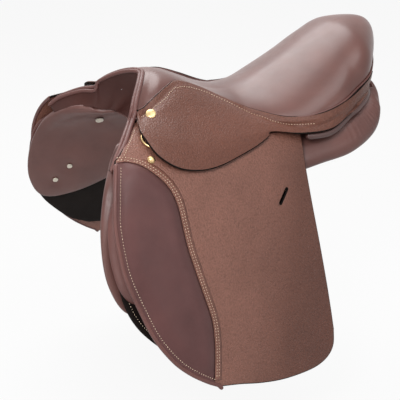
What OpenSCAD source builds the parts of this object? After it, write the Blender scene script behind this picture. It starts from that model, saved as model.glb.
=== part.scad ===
// Jumping saddle: seat, skirts, lifting flaps, knee pads, panels, girth straps and bars.
// Millimetres. +X runs to the pommel, +Y to the left side, +Z up.
// The origin is on the middle plane, level with the middle of the panels.

/* [Seat] */
// thickness of the leather on the seat
seat_cover_t = 2.2; // [1.8:0.1:2.6]
// thickness of the foam in the middle of the seat
seat_foam_t = 16; // [13:1:18]
// extra height of the cantle
cantle_rise = 0; // [-4:1:6]
// thickness of the moulded tree
tree_t = 8; // [7:0.5:9]

/* [Skirts and flaps] */
// thickness of a flap
flap_t = 4.4; // [3.8:0.2:4.8]
// extra length of a flap at its lower edge
flap_drop = 0; // [-15:5:20]
// thickness of a skirt
skirt_t = 3.6; // [3:0.2:4]
// thickness of a sweat flap
sweat_t = 4; // [3.4:0.2:4.4]
// length of the keeper slot in a flap
slot_len = 34; // [30:1:38]
// width of the keeper slot in a flap
slot_w = 7.5; // [6.5:0.5:9]

/* [Knee support] */
// height of a knee pad above the flap
knee_pad_h = 9; // [6:1:12]
// height of a knee block below the flap
knee_block_h = 12.5; // [9:0.5:13]

/* [Panels] */
// thickness of a panel at the front
panel_front_t = 23; // [19:1:23.5]
// thickness of a panel at the back
panel_back_t = 50; // [42:2:54]

/* [Girth straps] */
// width of a strap
strap_w = 25; // [22:1:28]
// length of a strap
strap_len = 255; // [230:5:275]
// thickness of a strap
strap_t = 4; // [3.5:0.1:4.2]
// radius of a strap hole
strap_hole_r = 3; // [2.5:0.1:3.5]
// distance between strap holes
strap_hole_pitch = 25; // [22:1:26]

/* [Hardware] */
// radius of a stirrup bar
bar_r = 5; // [4.6:0.1:5.2]
// radius of the wire of a dee ring
dee_wire_r = 1.8; // [1.5:0.1:1.9]
// radius of a skirt nail
nail_r = 8; // [6:0.5:9]

/* [Hidden] */
$fn = 48;

// colours
chestnut = [0.36, 0.17, 0.11];
grain = [0.43, 0.22, 0.13];
dark = [0.13, 0.09, 0.08];
brass = [0.8, 0.62, 0.25];
steel = [0.62, 0.63, 0.65];
foam = [0.85, 0.8, 0.62];
web = [0.75, 0.7, 0.58];
beech = [0.25, 0.25, 0.27];

// the side of the saddle: a straight fall below, a round bend above, turned out at the front
toe_out = 11.3;
fall = 20;
bend_r = 135;
side_y = 157;
bend_y = side_y - bend_r * cos(fall);
bend_z = -bend_r * sin(fall);
deg = 180 / PI;

function side_angle(s) = s >= 0 ? fall : fall - s / bend_r * deg;
function side_yz(s, d) =
    s >= 0
    ? [side_y + s * sin(fall) + d * cos(fall), -s * cos(fall) + d * sin(fall)]
    : [bend_y + (bend_r + d) * cos(side_angle(s)), bend_z + (bend_r + d) * sin(side_angle(s))];
function turned(x, p) =
    [x * cos(toe_out) - p[0] * sin(toe_out), x * sin(toe_out) + p[0] * cos(toe_out), p[1]];
function side(x, s, d) = turned(x, side_yz(s, d));
function side_out(s) = turned(0, [cos(side_angle(s)), sin(side_angle(s))]);

// splines
function pick(a, i) =
    i < 0 ? 2 * a[0] - a[1] : i >= len(a) ? 2 * a[len(a) - 1] - a[len(a) - 2] : a[i];
function flow(p0, p1, p2, p3, t) =
    0.5 * (2 * p1 + (p2 - p0) * t + (2 * p0 - 5 * p1 + 4 * p2 - p3) * t * t
    + (3 * p1 - p0 - 3 * p2 + p3) * t * t * t);
function along(a, u) =
    let (i = min(floor(u), len(a) - 2), t = u - i)
    flow(pick(a, i - 1), pick(a, i), pick(a, i + 1), pick(a, i + 2), t);
function smooth(a, n) = [for (k = [0 : n - 1]) along(a, k / (n - 1) * (len(a) - 1))];
function unit(v) = v / norm(v);
function mix(a, b, t) = a + (b - a) * t;
function ramp(t) = let (c = max(0, min(1, t))) c * c * (3 - 2 * c);
function back(a) = [for (i = [len(a) - 1 : -1 : 0]) a[i]];
function flip(p) = [p[0], -p[1], p[2]];

// seat stations: spine x, spine z, edge x, y, z, then reach and lift at the spine,
// rise and bulge at the edge
SEAT = [
    [156, 143.2, 207, 94, 96, 34, 2, 22, -16],
    [146, 144, 186, 83, 99, 32, 2, 22, -14],
    [134.5, 143, 155, 69, 115, 27, 1, 20, -10],
    [119.5, 138.8, 124, 48, 126, 20, 1, 10, -10],
    [99, 130, 105, 41, 125, 17, 0.5, 6, -10],
    [74, 116, 76, 44, 113, 18, 0.5, 6, -10],
    [43, 100, 45, 58, 97, 22, 1, 6, -10],
    [12, 92, 13, 74, 80, 26, 1.5, 10, -8],
    [-14, 93, -11, 90, 70, 32, 1, 12, -4],
    [-52, 104, -52, 114, 58, 40, 0, 16, 3],
    [-95, 124, -98, 133, 53, 50, 0, 30, 9],
    [-138, 147, -150, 132, 56, 58, 2, 52, 16],
    [-174, 167, -190, 117, 64, 62, 6, 74, 24],
    [-202, 184, -238, 84, 82, 62, 10, 90, 38],
    [-218, 190, -274, 0, 96, 62, 12, 98, 50]
];
last = len(SEAT) - 1;
function lifted(k) = cantle_rise * ramp((k - 8) / 5);
function seat_row(k) =
    let (r = SEAT[k], up = lifted(k), o = unit([r[2] - r[0], r[3], 0]))
    let (out = k < 9 ? unit([o[0] * 0.4, o[1], 0]) : o)
    [
        [r[0], 0, r[1] + up],
        [r[0], 0, r[1] + up] + out * r[5] + [0, 0, r[6]],
        [r[2], r[3], r[4]] + out * r[8] + [0, 0, r[7] + up],
        [r[2], r[3], r[4]]
    ];
function seat_ctrl(k) =
    k < 0 ? 2 * seat_row(0) - seat_row(1)
    : k > last ? [for (p = seat_row(last - 1)) flip(p)] : seat_row(k);
SEAT_CTRL = [for (k = [-1 : last + 1]) seat_ctrl(k)];
function seat(u, v) =
    let (i = max(0, min(floor(u), last - 1)), t = u - i)
    let (c = flow(SEAT_CTRL[i], SEAT_CTRL[i + 1], SEAT_CTRL[i + 2], SEAT_CTRL[i + 3], t), w = 1 - v)
    c[0] * w * w * w + c[1] * 3 * w * w * v + c[2] * 3 * w * v * v + c[3] * v * v * v;
function seat_up(u, v) =
    let (e = 0.02, a = seat(u + e, v) - seat(u - e, v), b = seat(u, v + e) - seat(u, v - e))
    let (n = unit(cross(a, b)), m = n * (seat(u, v) - [seat(u, 0)[0], 0, 40]) < 0 ? -n : n)
    v == 0 || u == last ? unit([m[0], 0, m[2]]) : m;
function sunk(u, v, d) = seat(u, v) - d * seat_up(u, v);

// layers under the seat cover
function foam_deep(u, v) =
    seat_cover_t + 1.2 + seat_foam_t * (0.25 + 0.75 * ramp(u / 2)) * (1 - 0.7 * ramp((v - 0.45) / 0.5));
function tree_deep(u, v) = foam_deep(u, v) + 4;

// a closed solid between two grids of points; a folded last row closes on itself
module shell(top, low, fold = false, keep = function(i, j) true) {
    n = len(top);
    m = len(top[0]);
    function at(i, j) = fold && i == n - 1 ? i * m + min(j, m - 1 - j) : i * m + j;
    function low_at(i, j) = n * m + at(i, j);
    function on(i, j) = i >= 0 && j >= 0 && i < n - 1 && j < m - 1 && keep(i, j);
    function wall(a, b, c, d) = [[a, b, c], [a, c, d]];
    cells = [for (i = [0 : n - 2], j = [0 : m - 2]) if (on(i, j)) [i, j]];
    faces = [
        for (c = cells) let (i = c[0], j = c[1]) each concat(
            wall(at(i, j), at(i, j + 1), at(i + 1, j + 1), at(i + 1, j)),
            wall(low_at(i, j), low_at(i + 1, j), low_at(i + 1, j + 1), low_at(i, j + 1)),
            on(i - 1, j) ? [] : wall(at(i, j), low_at(i, j), low_at(i, j + 1), at(i, j + 1)),
            on(i + 1, j) || (fold && i == n - 2) ? []
                : wall(at(i + 1, j + 1), low_at(i + 1, j + 1), low_at(i + 1, j), at(i + 1, j)),
            on(i, j - 1) ? [] : wall(at(i + 1, j), low_at(i + 1, j), low_at(i, j), at(i, j)),
            on(i, j + 1) ? [] : wall(at(i, j + 1), low_at(i, j + 1), low_at(i + 1, j + 1), at(i + 1, j + 1))
        )
    ];
    solid = [for (f = faces) if (f[0] != f[1] && f[1] != f[2] && f[0] != f[2]) back(f)];
    polyhedron(concat([for (r = top) each r], [for (r = low) each r]), solid);
}

// a closed tube through rings of points
module skin(rings) {
    n = len(rings);
    m = len(rings[0]);
    faces = concat(
        [for (i = [0 : n - 2], j = [0 : m - 1]) each [
            [i * m + j, (i + 1) * m + j, (i + 1) * m + (j + 1) % m],
            [i * m + j, (i + 1) * m + (j + 1) % m, i * m + (j + 1) % m]
        ]],
        [[for (j = [0 : m - 1]) j]],
        [[for (j = [m - 1 : -1 : 0]) (n - 1) * m + j]]
    );
    polyhedron([for (r = rings) each r], faces);
}

// a round tube along a list of points
module tube(path, r, sides = 10) {
    n = len(path);
    rings = [for (i = [0 : n - 1])
        let (t = unit(path[min(i + 1, n - 1)] - path[max(i - 1, 0)]))
        let (a = unit(cross(t, [0.3, 0.1, 1])), b = cross(t, a), q = i == 0 || i == n - 1 ? 0.6 * r : r)
        [for (k = [0 : sides - 1]) path[i] + q * (a * cos(360 * k / sides) + b * sin(360 * k / sides))]
    ];
    skin(rings);
}

// places things on the side: x forward, y down the fall, z outward
module on_side(x, s, d) {
    p = side_yz(s, d);
    rotate([0, 0, toe_out])
        translate([x, p[0], p[1]])
            rotate([side_angle(s) - 90, 0, 0])
                children();
}

// a sheet that follows the side between two depths
module side_sheet(d0, d1, s0, s1, x0, x1, step = 10) {
    bent = s0 < 0 ? [for (k = [0 : ceil(-s0 / step)]) s0 * (1 - k / ceil(-s0 / step))] : [s0];
    s = s1 > 0 ? concat(bent, [s1]) : [for (k = [0 : 8]) mix(s0, s1, k / 8)];
    rotate([0, 0, toe_out])
        translate([x0, 0, 0])
            rotate([90, 0, 90])
                linear_extrude(x1 - x0)
                    polygon(concat([for (v = s) side_yz(v, d1)], [for (v = back(s)) side_yz(v, d0)]));
}

// an outline on the side, cut straight through
cut_reach = 420;
module side_cut(outline, d) {
    rotate([0, 0, toe_out])
        translate([0, cut_reach, 0])
            rotate([90, 0, 0])
                linear_extrude(cut_reach)
                    polygon([for (p = outline) [p[0], side_yz(p[1], d)[1]]]);
}

// a padded form on the side with a crowned face and drawn-in edges
module side_pad(outline, middle, d0, h) {
    f = [1, 0.97, 0.88, 0.7, 0.4, 0.02];
    rise = [0.3, 0.62, 0.86, 0.97, 1, 1];
    function ring(k, d) = [for (p = outline) let (q = mix(middle, p, f[k]))
        side(q[0], q[1], d + 2.4 * ramp((16 - q[1]) / 25))];
    low = [for (k = [0 : 5]) ring(k, d0)];
    rings = concat(back(low), [for (k = [0 : 5]) ring(k, d0 + h * rise[k])]);
    skin(rings);
}

module both() {
    children();
    mirror([0, 1, 0]) children();
}

// seat parts
seat_rows = [
    0, 0.5, 1, 1.5, 2, 2.5, 3, 3.5, 4, 5, 6, 7, 8, 8.5, 9, 9.5, 10, 10.5, 11, 11.5, 12, 12.5, 13,
    13.33, 13.67, 14
];
function across(m) = [for (j = [-m : m]) j / m];
function layer(rows, cols, deep) =
    [for (u = rows) [for (c = cols)
        let (p = sunk(u, abs(c), deep(u, abs(c)))) c < 0 ? flip(p) : p]];

module seat_cover() color(chestnut)
    shell(layer(seat_rows, across(9), function(u, v) 0),
        layer(seat_rows, across(9), function(u, v) seat_cover_t), true);

foam_rows = [for (u = seat_rows) if (u > 0.4) u];
foam_cols = [for (c = across(9)) if (abs(c) < 0.9) c];
module seat_foam() color(foam)
    shell(layer(foam_rows, foam_cols, function(u, v) seat_cover_t + 0.7),
        layer(foam_rows, foam_cols, function(u, v) foam_deep(u, v)), true);

web_rows = [1.6, 2.4, 3.2, 4, 5, 6, 7, 8, 9, 10, 10.7, 11.4, 12];
module seat_webs() color(web)
    both()
        shell([for (u = web_rows) [for (v = [0.12, 0.2, 0.28]) sunk(u, v, foam_deep(u, v) + 1.5)]],
            [for (u = web_rows) [for (v = [0.12, 0.2, 0.28]) sunk(u, v, foam_deep(u, v) + 3)]]);

tree_rows = [1.15, 1.45, 1.8, 2.2, 2.6, 3.3, 4, 5, 6, 7, 8, 9, 10, 10.5, 11, 11.5, 12, 12.5, 13, 13.5, 14];
tree_cols = across(6) * 0.92;
module tree() color(beech)
    shell(layer(tree_rows, tree_cols, function(u, v) tree_deep(u, v)),
        layer(tree_rows, tree_cols, function(u, v) tree_deep(u, v) + tree_t), true,
        function(i, j) i < 4 || i > 14 || j < 3 || j > 8);

lining_rows = [0.06, 0.25, 0.45, 0.7, 1.15, 1.45, 1.8, 2.2];
lining_cols = [for (c = tree_cols) if (abs(c) < 0.62) c];
function lining_deep(u, v) = mix(6, tree_deep(u, v) + tree_t + 2.2, ramp(u / 0.7));
module pommel_lining() color(chestnut)
    shell(layer(lining_rows, lining_cols, function(u, v) lining_deep(u, v)),
        layer(lining_rows, lining_cols, function(u, v) lining_deep(u, v) + 1.6));

// the rim of the pommel, down to the front corner of each flap
WELT = [side(287, -90, -7), side(270, -106, -4), side(248, -130, 0), side(231, -150, 4)];
function rim(v) = let (p = seat(0, v)) p + 7.2 * unit([1, 0.35 * v, 0.25 - 0.5 * v]);
module front_welt() color(chestnut) {
    half = concat(smooth(WELT, 9), [for (v = [0.92, 0.8, 0.65, 0.5, 0.35, 0.18]) rim(v)]);
    tube(concat(half, [rim(0)], [for (p = back(half)) flip(p)]), 4.8);
}

// skirts: from the seat seam, over the fold line, to the lower edge
fold_front = side(233, -130, 14.5);
fold_back = side(6, -54, 13);
function fold(t) = mix(fold_back, fold_front, t);
// seam place on the seat, fold place, lower edge forward and down
LOBE = [
    [0.05, 1, 233, -129], [0.4, 0.97, 236, -114], [0.8, 0.93, 237, -92], [1.25, 0.87, 230, -64],
    [1.8, 0.77, 205, -40], [2.6, 0.66, 169, -28], [3.6, 0.53, 129, -26], [5, 0.36, 80, -33],
    [6.3, 0.2, 44, -40], [7.4, 0.07, 18, -48], [8, 0, 6, -53]
];
TAIL = [[-75, 145, 45], [-133, 147.5, 43], [-182, 135, 55], [-218, 115, 75], [-242, 95, 88]];
TAIL_SEAM = [9.2, 10.4, 11.6, 12.6, 13];
function lobe_low(k) = side(LOBE[k][2], LOBE[k][3], mix(15.5, 11, ramp(k / 5)));
function seam(u, v) = sunk(u, v, -2 - 1.8 * ramp((u - 8.4) / 1.2) * ramp((12 - u) / 1.2) - skirt_t);
function band_row(u, low, bulge) =
    let (a = seam(u, 0.86), b = seam(u, 0.99), o = unit([0, 1, 1.1]))
    [a, mix(a, b, 0.5) + 0.3 * o, b, mix(b, low, 0.35) + bulge * o, mix(b, low, 0.7) + bulge * o, low];
function lobe_row(k) =
    let (a = fold(LOBE[k][1]), b = lobe_low(k), o = side_out(-75), h = 0.1 * norm(b - a))
    [for (t = [0, 0.2, 0.4, 0.6, 0.8, 1]) mix(a, b, t) + h * 4 * t * (1 - t) * o];
LOBE_ROWS = [for (k = [0 : len(LOBE) - 1]) lobe_row(k)];
BAND_ROWS = concat(
    [for (k = [0 : len(LOBE) - 1]) band_row(LOBE[k][0], fold(LOBE[k][1]), 3 * ramp(k / 2))],
    [for (k = [0 : len(TAIL) - 1]) band_row(TAIL_SEAM[k], TAIL[k], 1)]
);
// the roll that shows below the tail of the skirts and passes round the cantle
roll_r = 6.6;
TAIL_PLACE = [for (k = [0 : len(TAIL) - 1]) [TAIL_SEAM[k], k]];
function outward(p) = unit([p[0] + 150, p[1], 0]);
function roll(u) =
    let (e = seat(u, 1), t = along(TAIL, lookup(u, TAIL_PLACE)))
    let (under_seat = e + [0, 0, -7.2] + 4.2 * outward(e), under_tail = t + [0, 0, -6.5] - 9.6 * outward(t))
    mix(under_tail, under_seat, ramp((u - 11.7) / 0.5));
roll_us = [9.5, 9.9, 10.4, 10.8, 11.2, 11.6, 12, 12.3, 12.6, 12.9, 13.15, 13.4, 13.6, 13.8, 14];
module cantle_welt() color(chestnut) {
    half = [for (u = roll_us) roll(u)];
    tube(concat(half, [for (i = [len(half) - 2 : -1 : 0]) flip(half[i])]), roll_r);
}
function finer(rows, n) = [for (k = [0 : n]) along(rows, k / n * (len(rows) - 1))];
function grid_in(g, d) = [for (i = [0 : len(g) - 1]) [for (j = [0 : len(g[0]) - 1])
    let (a = g[min(i + 1, len(g) - 1)][j] - g[max(i - 1, 0)][j])
    let (b = g[i][min(j + 1, len(g[0]) - 1)] - g[i][max(j - 1, 0)])
    g[i][j] + d * unit(cross(a, b))]];
LOBE_GRID = [for (k = [0 : 24]) let (r = along(LOBE_ROWS, 0.8 + k / 24 * 8.7))
    concat([mix(r[0], r[1], 1.4 / norm(r[1] - r[0]))], [for (j = [1 : 5]) r[j]])];
BAND_GRID = [for (r = finer(BAND_ROWS, 30))
    concat([for (j = [0 : 4]) r[j]], [mix(r[5], r[4], 1.4 / norm(r[5] - r[4]))])];
module skirt_half() shell(BAND_GRID, grid_in(BAND_GRID, skirt_t));
module lobe_half() shell(LOBE_GRID, grid_in(LOBE_GRID, skirt_t));
module skirt_left() color(grain) skirt_half();
module skirt_right() color(grain) mirror([0, 1, 0]) skirt_half();
module skirt_lobe_left() color(grain) lobe_half();
module skirt_lobe_right() color(grain) mirror([0, 1, 0]) lobe_half();

// tree parts at the side
point_x = 183;
plate_d = -11.2;
forward = turned(1, [0, 0]);
module point_half() {
    rings = [for (k = [0 : 9])
        let (s = -142 + k * 11.2, n = side_out(s))
        let (c = side(point_x, s, -17.5), f = forward, w = k == 9 ? 14 : 20)
        [c - f * w - n * 5.8, c + f * w - n * 5.8, c + f * w + n * 4.4, c - f * w + n * 4.4]];
    skin([for (r = rings) back(r)]);
}
module tree_point_left() color(beech) point_half();
module tree_point_right() color(beech) mirror([0, 1, 0]) point_half();

function plate_ring(c, n, w) =
    let (f = forward * w, h = n * 1.4)
    [c - f + h, c + f + h, c + f - h, c - f - h];
module plate_half() {
    under = [for (v = [0.66, 0.78, 0.9])
        [sunk(1.5, v, tree_deep(1.5, v) + tree_t + 4.3), seat_up(1.5, v), 8]];
    down = [for (s = [-146, -132, -118, -104, -90, -76, -62])
        [side(point_x, s, plate_d), side_out(s), s < -140 ? 11 : 17]];
    path = concat(under, down);
    skin([for (p = path) plate_ring(p[0], p[1], p[2])]);
}
module head_plate_left() color(steel) plate_half();
module head_plate_right() color(steel) mirror([0, 1, 0]) plate_half();

// stirrup bars and their catches
bar_s = -80;
bar_d = -4;
bar_x0 = 100;
bar_x1 = 165;
catch_x = 92;
rivet_x = 190;
module bar_half() difference() {
    union() {
        on_side(point_x, bar_s, -9.4) translate([-17, -16, 0]) cube([34, 32, 3]);
        on_side(bar_x0, bar_s, bar_d) rotate([0, 90, 0]) cylinder(h = bar_x1 - bar_x0, r = bar_r);
        on_side(bar_x1 - 1, bar_s, bar_d) rotate([0, 90, 0]) cylinder(h = 16, r = bar_r + 0.8);
        on_side(catch_x - 6, bar_s, bar_d) intersection() {
            rotate([0, 90, 0]) cylinder(h = bar_x0 - catch_x + 7, r = bar_r - 0.2);
            translate([-1, -6, -6]) cube([18, 12, 5.8]);
        }
        on_side(catch_x, bar_s, bar_d - 2) cylinder(h = 2 + bar_r - 0.8, r = 1.6);
    }
    for (y = [-8, 8]) on_side(rivet_x, bar_s, -10) translate([0, y, 0]) cylinder(h = 5, r = 2.8);
}
module catch_half() on_side(catch_x, bar_s, bar_d) difference() {
    intersection() {
        translate([-20, 0, 0]) rotate([0, 90, 0]) cylinder(h = 25, r = bar_r - 0.2);
        translate([-21, -6, 0.2]) cube([28, 12, 6]);
    }
    translate([0, 0, -1]) cylinder(h = 8, r = 1.9);
}
module stirrup_bar_left() color(steel) bar_half();
module stirrup_bar_right() color(steel) mirror([0, 1, 0]) bar_half();
module stirrup_catch_left() color(steel) catch_half();
module stirrup_catch_right() color(steel) mirror([0, 1, 0]) catch_half();
module tree_rivets() color(steel) both() for (y = [-8, 8])
    on_side(rivet_x, bar_s, -9.3) translate([0, y, 0]) {
        cylinder(h = 3.6, r = 2.5);
        translate([0, 0, 3.3]) cylinder(h = 1.4, r = 4.2);
    }

// how far forward and back a sheet reaches before it is cut
sheet_x0 = -100;
sheet_x1 = 400;
sweat_d = -22;

// flaps: the part above the fold line stays, the part below it lifts
function fold_s(x) = -38 - (x + 58) / 356 * 40.8;
function dropped(p) = [p[0], p[1] + flap_drop * ramp((p[1] - 100) / 180)];
FLAP_FRONT = [
    [298, fold_s(298)], [306, -65], [322, -30], [334, 10], [338, 52], [337, 100], [326, 152],
    [311, 205], [288, 250], [264, 280], [236, 305], [216, 319]
];
FLAP_LOW = [
    [213, 320], [175, 331], [130, 346], [84, 357], [36, 362], [4, 361], [-20, 353], [-35, 338], [-42, 312]
];
FLAP_BACK = [[-44, 278], [-46, 223], [-47, 150], [-47, 80], [-48, 14], [-51, -20], [-55, fold_s(-55)]];
FLAP = [for (p = concat(smooth(FLAP_FRONT, 23), smooth(FLAP_LOW, 17), smooth(FLAP_BACK, 7))) dropped(p)];
module slot() on_side(11, 55, -10) rotate([0, 0, 47]) {
    translate([-(slot_len - slot_w) / 2, -slot_w / 2, 0]) cube([slot_len - slot_w, slot_w, 20]);
    for (x = [-1, 1]) translate([x * (slot_len - slot_w) / 2, 0, 0]) cylinder(h = 20, r = slot_w / 2);
}
module flap_half() difference() {
    intersection() {
        side_sheet(-flap_t / 2, flap_t / 2, -100, 400, sheet_x0, sheet_x1);
        side_cut(FLAP, 0);
    }
    slot();
}
HEAD = [
    [211, -145], [223, -142], [240, -123], [262, -99], [278, -86.5], [282, fold_s(282) - 0.9],
    [-50, fold_s(-50) - 0.9], [-50, fold_s(-50) - 10], [90, fold_s(90) - 6], [170, fold_s(170) - 4],
    [186, -73], [186, -118], [198, -141]
];
module head_half() intersection() {
    side_sheet(-flap_t / 2, flap_t / 2, -160, -30, sheet_x0, sheet_x1);
    side_cut(HEAD, 0);
}
module flap_left() color(grain) flap_half();
module flap_right() color(grain) mirror([0, 1, 0]) flap_half();
module flap_head_left() color(grain) head_half();
module flap_head_right() color(grain) mirror([0, 1, 0]) head_half();

// knee pads on the flaps, knee blocks under them
PAD_FRONT = [
    [294, -70], [303, -54], [316, -24], [327, 12], [331, 52], [330, 98], [319, 150], [304, 201], [282, 244],
    [258, 271], [230, 294]
];
PAD_BACK = [
    [221, 291], [207, 250], [203, 211], [208, 170], [214, 126], [219, 85], [220, 50], [221, 14], [228, -12],
    [240, -34], [262, -60], [282, -70]
];
module pad_half()
    side_pad(concat(smooth(PAD_FRONT, 14), smooth(PAD_BACK, 14)), [266, 110], flap_t / 2 + 0.4, knee_pad_h);
module knee_pad_left() color(chestnut) pad_half();
module knee_pad_right() color(chestnut) mirror([0, 1, 0]) pad_half();
BLOCK_FRONT = [[308, -30], [326, -10], [339, 20], [346, 64], [344, 110], [334, 136], [318, 150]];
BLOCK_BACK = [[298, 148], [278, 122], [267, 80], [265, 40], [271, 5], [284, -22], [297, -32]];
module block_half()
    side_pad(concat(smooth(BLOCK_FRONT, 11), smooth(BLOCK_BACK, 11)), [305, 60],
        sweat_d + sweat_t + 0.4, knee_block_h);
module knee_block_left() color(chestnut) block_half();
module knee_block_right() color(chestnut) mirror([0, 1, 0]) block_half();

// sweat flaps
SWEAT_FRONT = [
    [306, -34], [322, -5], [334, 40], [340, 90], [338, 140], [328, 176], [308, 209], [272, 249], [232, 270]
];
SWEAT_BACK = [[160, 272], [96, 262], [48, 232], [16, 180], [-4, 120], [-11, 75], [-9, 45], [0, 14], [8, -34]];
module sweat_half() intersection() {
    side_sheet(sweat_d, sweat_d + sweat_t, -60, 320, sheet_x0, sheet_x1);
    side_cut(concat(smooth(SWEAT_FRONT, 15), smooth(SWEAT_BACK, 13)), -20);
}
module sweat_flap_left() color(dark) sweat_half();
module sweat_flap_right() color(dark) mirror([0, 1, 0]) sweat_half();

// girth straps and the webs that hold them
strap_s = -50;
module strap(x, d) difference() {
    end = strap_s + strap_len;
    w = strap_w / 2;
    intersection() {
        side_sheet(d, d + strap_t, strap_s, end + 20, x - w, x + w);
        side_cut([
            [x + w, strap_s], [x + w, end - 14], [x + 5, end],
            [x - 5, end], [x - w, end - 14], [x - w, strap_s]
        ], d);
    }
    for (k = [1 : 6]) on_side(x, end - 8 - k * strap_hole_pitch, d - 2)
        cylinder(h = strap_t + 4, r = strap_hole_r);
}
web_d = -20.9;
strap_d = -17.4;
web_t = 2.6;
strap_step = 4.8;
module web_half() {
    side_sheet(web_d, web_d + web_t, -92, -37, 54, 158);
    side_sheet(web_d + web_t - 0.6, strap_d + strap_step - 0.7, -62, -38, strap_x[1] - 11, strap_x[1] + 11);
}
module girth_web_left() color(web) web_half();
module girth_web_right() color(web) mirror([0, 1, 0]) web_half();
strap_x = [142, 106, 70];
module girth_strap_front_left() color(dark) strap(strap_x[0], strap_d);
module girth_strap_front_right() color(dark) mirror([0, 1, 0]) strap(strap_x[0], strap_d);
module girth_strap_middle_left() color(dark) strap(strap_x[1], strap_d + strap_step);
module girth_strap_middle_right() color(dark) mirror([0, 1, 0]) strap(strap_x[1], strap_d + strap_step);
module girth_strap_rear_left() color(dark) strap(strap_x[2], strap_d);
module girth_strap_rear_right() color(dark) mirror([0, 1, 0]) strap(strap_x[2], strap_d);

// dee rings on their tabs, and the studs on the flaps
dee_x = 219;
dee_s = -99;
dee_r = 17;
dee_d = flap_t / 2 + 0.4;
module dee_at() on_side(dee_x, dee_s, dee_d) children();
module dee_wire(r) translate([0, 0, 2]) rotate_extrude() translate([dee_r, 0]) circle(r = r);
module ring_half() dee_at() dee_wire(dee_wire_r);
module tab_half() dee_at() difference() {
    translate([-33, -8, 0]) cube([33 - dee_r, 16, 4]);
    dee_wire(dee_wire_r + 0.35);
    translate([-26, 0, -1]) cylinder(h = 8, r = 2.8);
}
module dee_tab_left() color(dark) tab_half();
module dee_tab_right() color(dark) mirror([0, 1, 0]) tab_half();
module dee_ring_left() color(brass) ring_half();
module dee_ring_right() color(brass) mirror([0, 1, 0]) ring_half();
module dee_rivets() color(brass) both() dee_at() translate([-26, 0, 0]) cylinder(h = 4, r = 2.4);
stud_x = 241;
stud_s = -65;
module stud_half() on_side(stud_x, stud_s, flap_t / 2 + 0.4) {
    cylinder(h = 1.8, r = 4.4);
    translate([0, 0, 1.7]) cylinder(h = 1.6, r1 = 4.4, r2 = 2.6);
}
module flap_stud_left() color(brass) stud_half();
module flap_stud_right() color(brass) mirror([0, 1, 0]) stud_half();

// nails that hold the skirts
function band_at(k, j) = along(along(BAND_ROWS, k), j);
function facing(a, b) = let (n = unit(cross(a, b)), x = unit(a)) [x, cross(n, x), n];
module placed(p, m) multmatrix([
    [m[0][0], m[1][0], m[2][0], p[0]], [m[0][1], m[1][1], m[2][1], p[1]], [m[0][2], m[1][2], m[2][2], p[2]]
]) children();
nail_k = 2.78;
nail_j = 2.75;
module nail_half() {
    a = band_at(nail_k - 0.1, nail_j) - band_at(nail_k + 0.1, nail_j);
    b = band_at(nail_k, nail_j + 0.1) - band_at(nail_k, nail_j - 0.1);
    m = facing(a, b);
    placed(band_at(nail_k, nail_j) + 1.1 * m[2], m) {
        cylinder(h = 1.4, r = nail_r);
        translate([0, 0, 1.3]) cylinder(h = 1.4, r1 = nail_r, r2 = nail_r * 0.6);
    }
}
module skirt_nails() color(brass) both() nail_half();

// panels: inner edge and outer edge on the side, then free edges at the back
PANEL_FRONT = [
    [236, -152, 260, -140], [226, -157, 290, -98], [214, -161, 322, -36], [202, -164, 346, 40],
    [190, -166, 350, 112], [174, -167, 324, 165], [150, -168, 258, 160], [108, -168, 182, 122],
    [58, -166, 106, 72]
];
PANEL_BACK = [
    [[0, 34, 48], [-14, 136, -42]], [[-60, 33, 40], [-62, 137, -33]], [[-120, 34, 40], [-122, 136, -24]],
    [[-172, 38, 46], [-188, 133, -15]], [[-208, 46, 52], [-244, 115, 6]], [[-230, 54, 54], [-267, 96, 36]],
    [[-243, 64, 58], [-260, 80, 56]]
];
PANEL_T = concat(
    [8, 17, 22, 23, 23, 23, 23, 25, 30] * panel_front_t / 23,
    [35, 40, 46, 50, 48, 39, 15] * panel_back_t / 50
);
function panel_row(k) =
    k < len(PANEL_FRONT)
    ? let (r = PANEL_FRONT[k], d = -23.2 - PANEL_T[k] / 2)
        [for (t = [0, 0.25, 0.5, 0.75, 1]) side(mix(r[0], r[2], t), mix(r[1], r[3], t), d)]
    : let (r = PANEL_BACK[k - len(PANEL_FRONT)], c = r[1] - r[0], n = unit([0, -c[2], c[1]]))
        [for (t = [0, 0.25, 0.5, 0.75, 1]) mix(r[0], r[1], t) + 10 * 4 * t * (1 - t) * n];
PANEL = [for (k = [0 : len(PANEL_T) - 1]) panel_row(k)];
// place along and across a panel, stand-off and radius of its washer
TUFTS = [[5.3, 0.34, 4.7, 7.5], [5.3, 0.745, 3.4, 5], [5.05, 0.855, 3.4, 5]];
function panel_mid(w, v) = along(along(PANEL, w), v * 4);
function panel_up(w, v) =
    let (e = 0.04, w0 = max(0, w - e), w1 = min(len(PANEL) - 1, w + e))
    let (v0 = max(0, v - e), v1 = min(1, v + e))
    -unit(cross(panel_mid(w1, v) - panel_mid(w0, v), panel_mid(w, v1) - panel_mid(w, v0)));
function panel_half_t(w, v) =
    1.2 + (along(PANEL_T, w) / 2 - 1.2) * pow(max(0, 1 - pow(abs(2 * v - 1), 2.6)), 0.55);
function tuft(w, v) =
    let (p = panel_mid(w, v))
    max([for (t = TUFTS) exp(-pow(norm(p - panel_mid(t[0], t[1])) / 26, 2))]);
function panel_in(w, v) = panel_mid(w, v) - (panel_half_t(w, v) - 3.5 * tuft(w, v)) * panel_up(w, v);
panel_ws = [for (k = [0 : 34]) k / 34 * (len(PANEL) - 1)];
panel_vs = [0, 0.03, 0.1, 0.22, 0.36, 0.5, 0.64, 0.78, 0.9, 0.97, 1];
module panel_half() shell(
    [for (w = panel_ws) [for (v = panel_vs) panel_mid(w, v) + panel_half_t(w, v) * panel_up(w, v)]],
    [for (w = panel_ws) [for (v = panel_vs) panel_in(w, v)]]
);
module panel_left() color(chestnut) panel_half();
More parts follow.
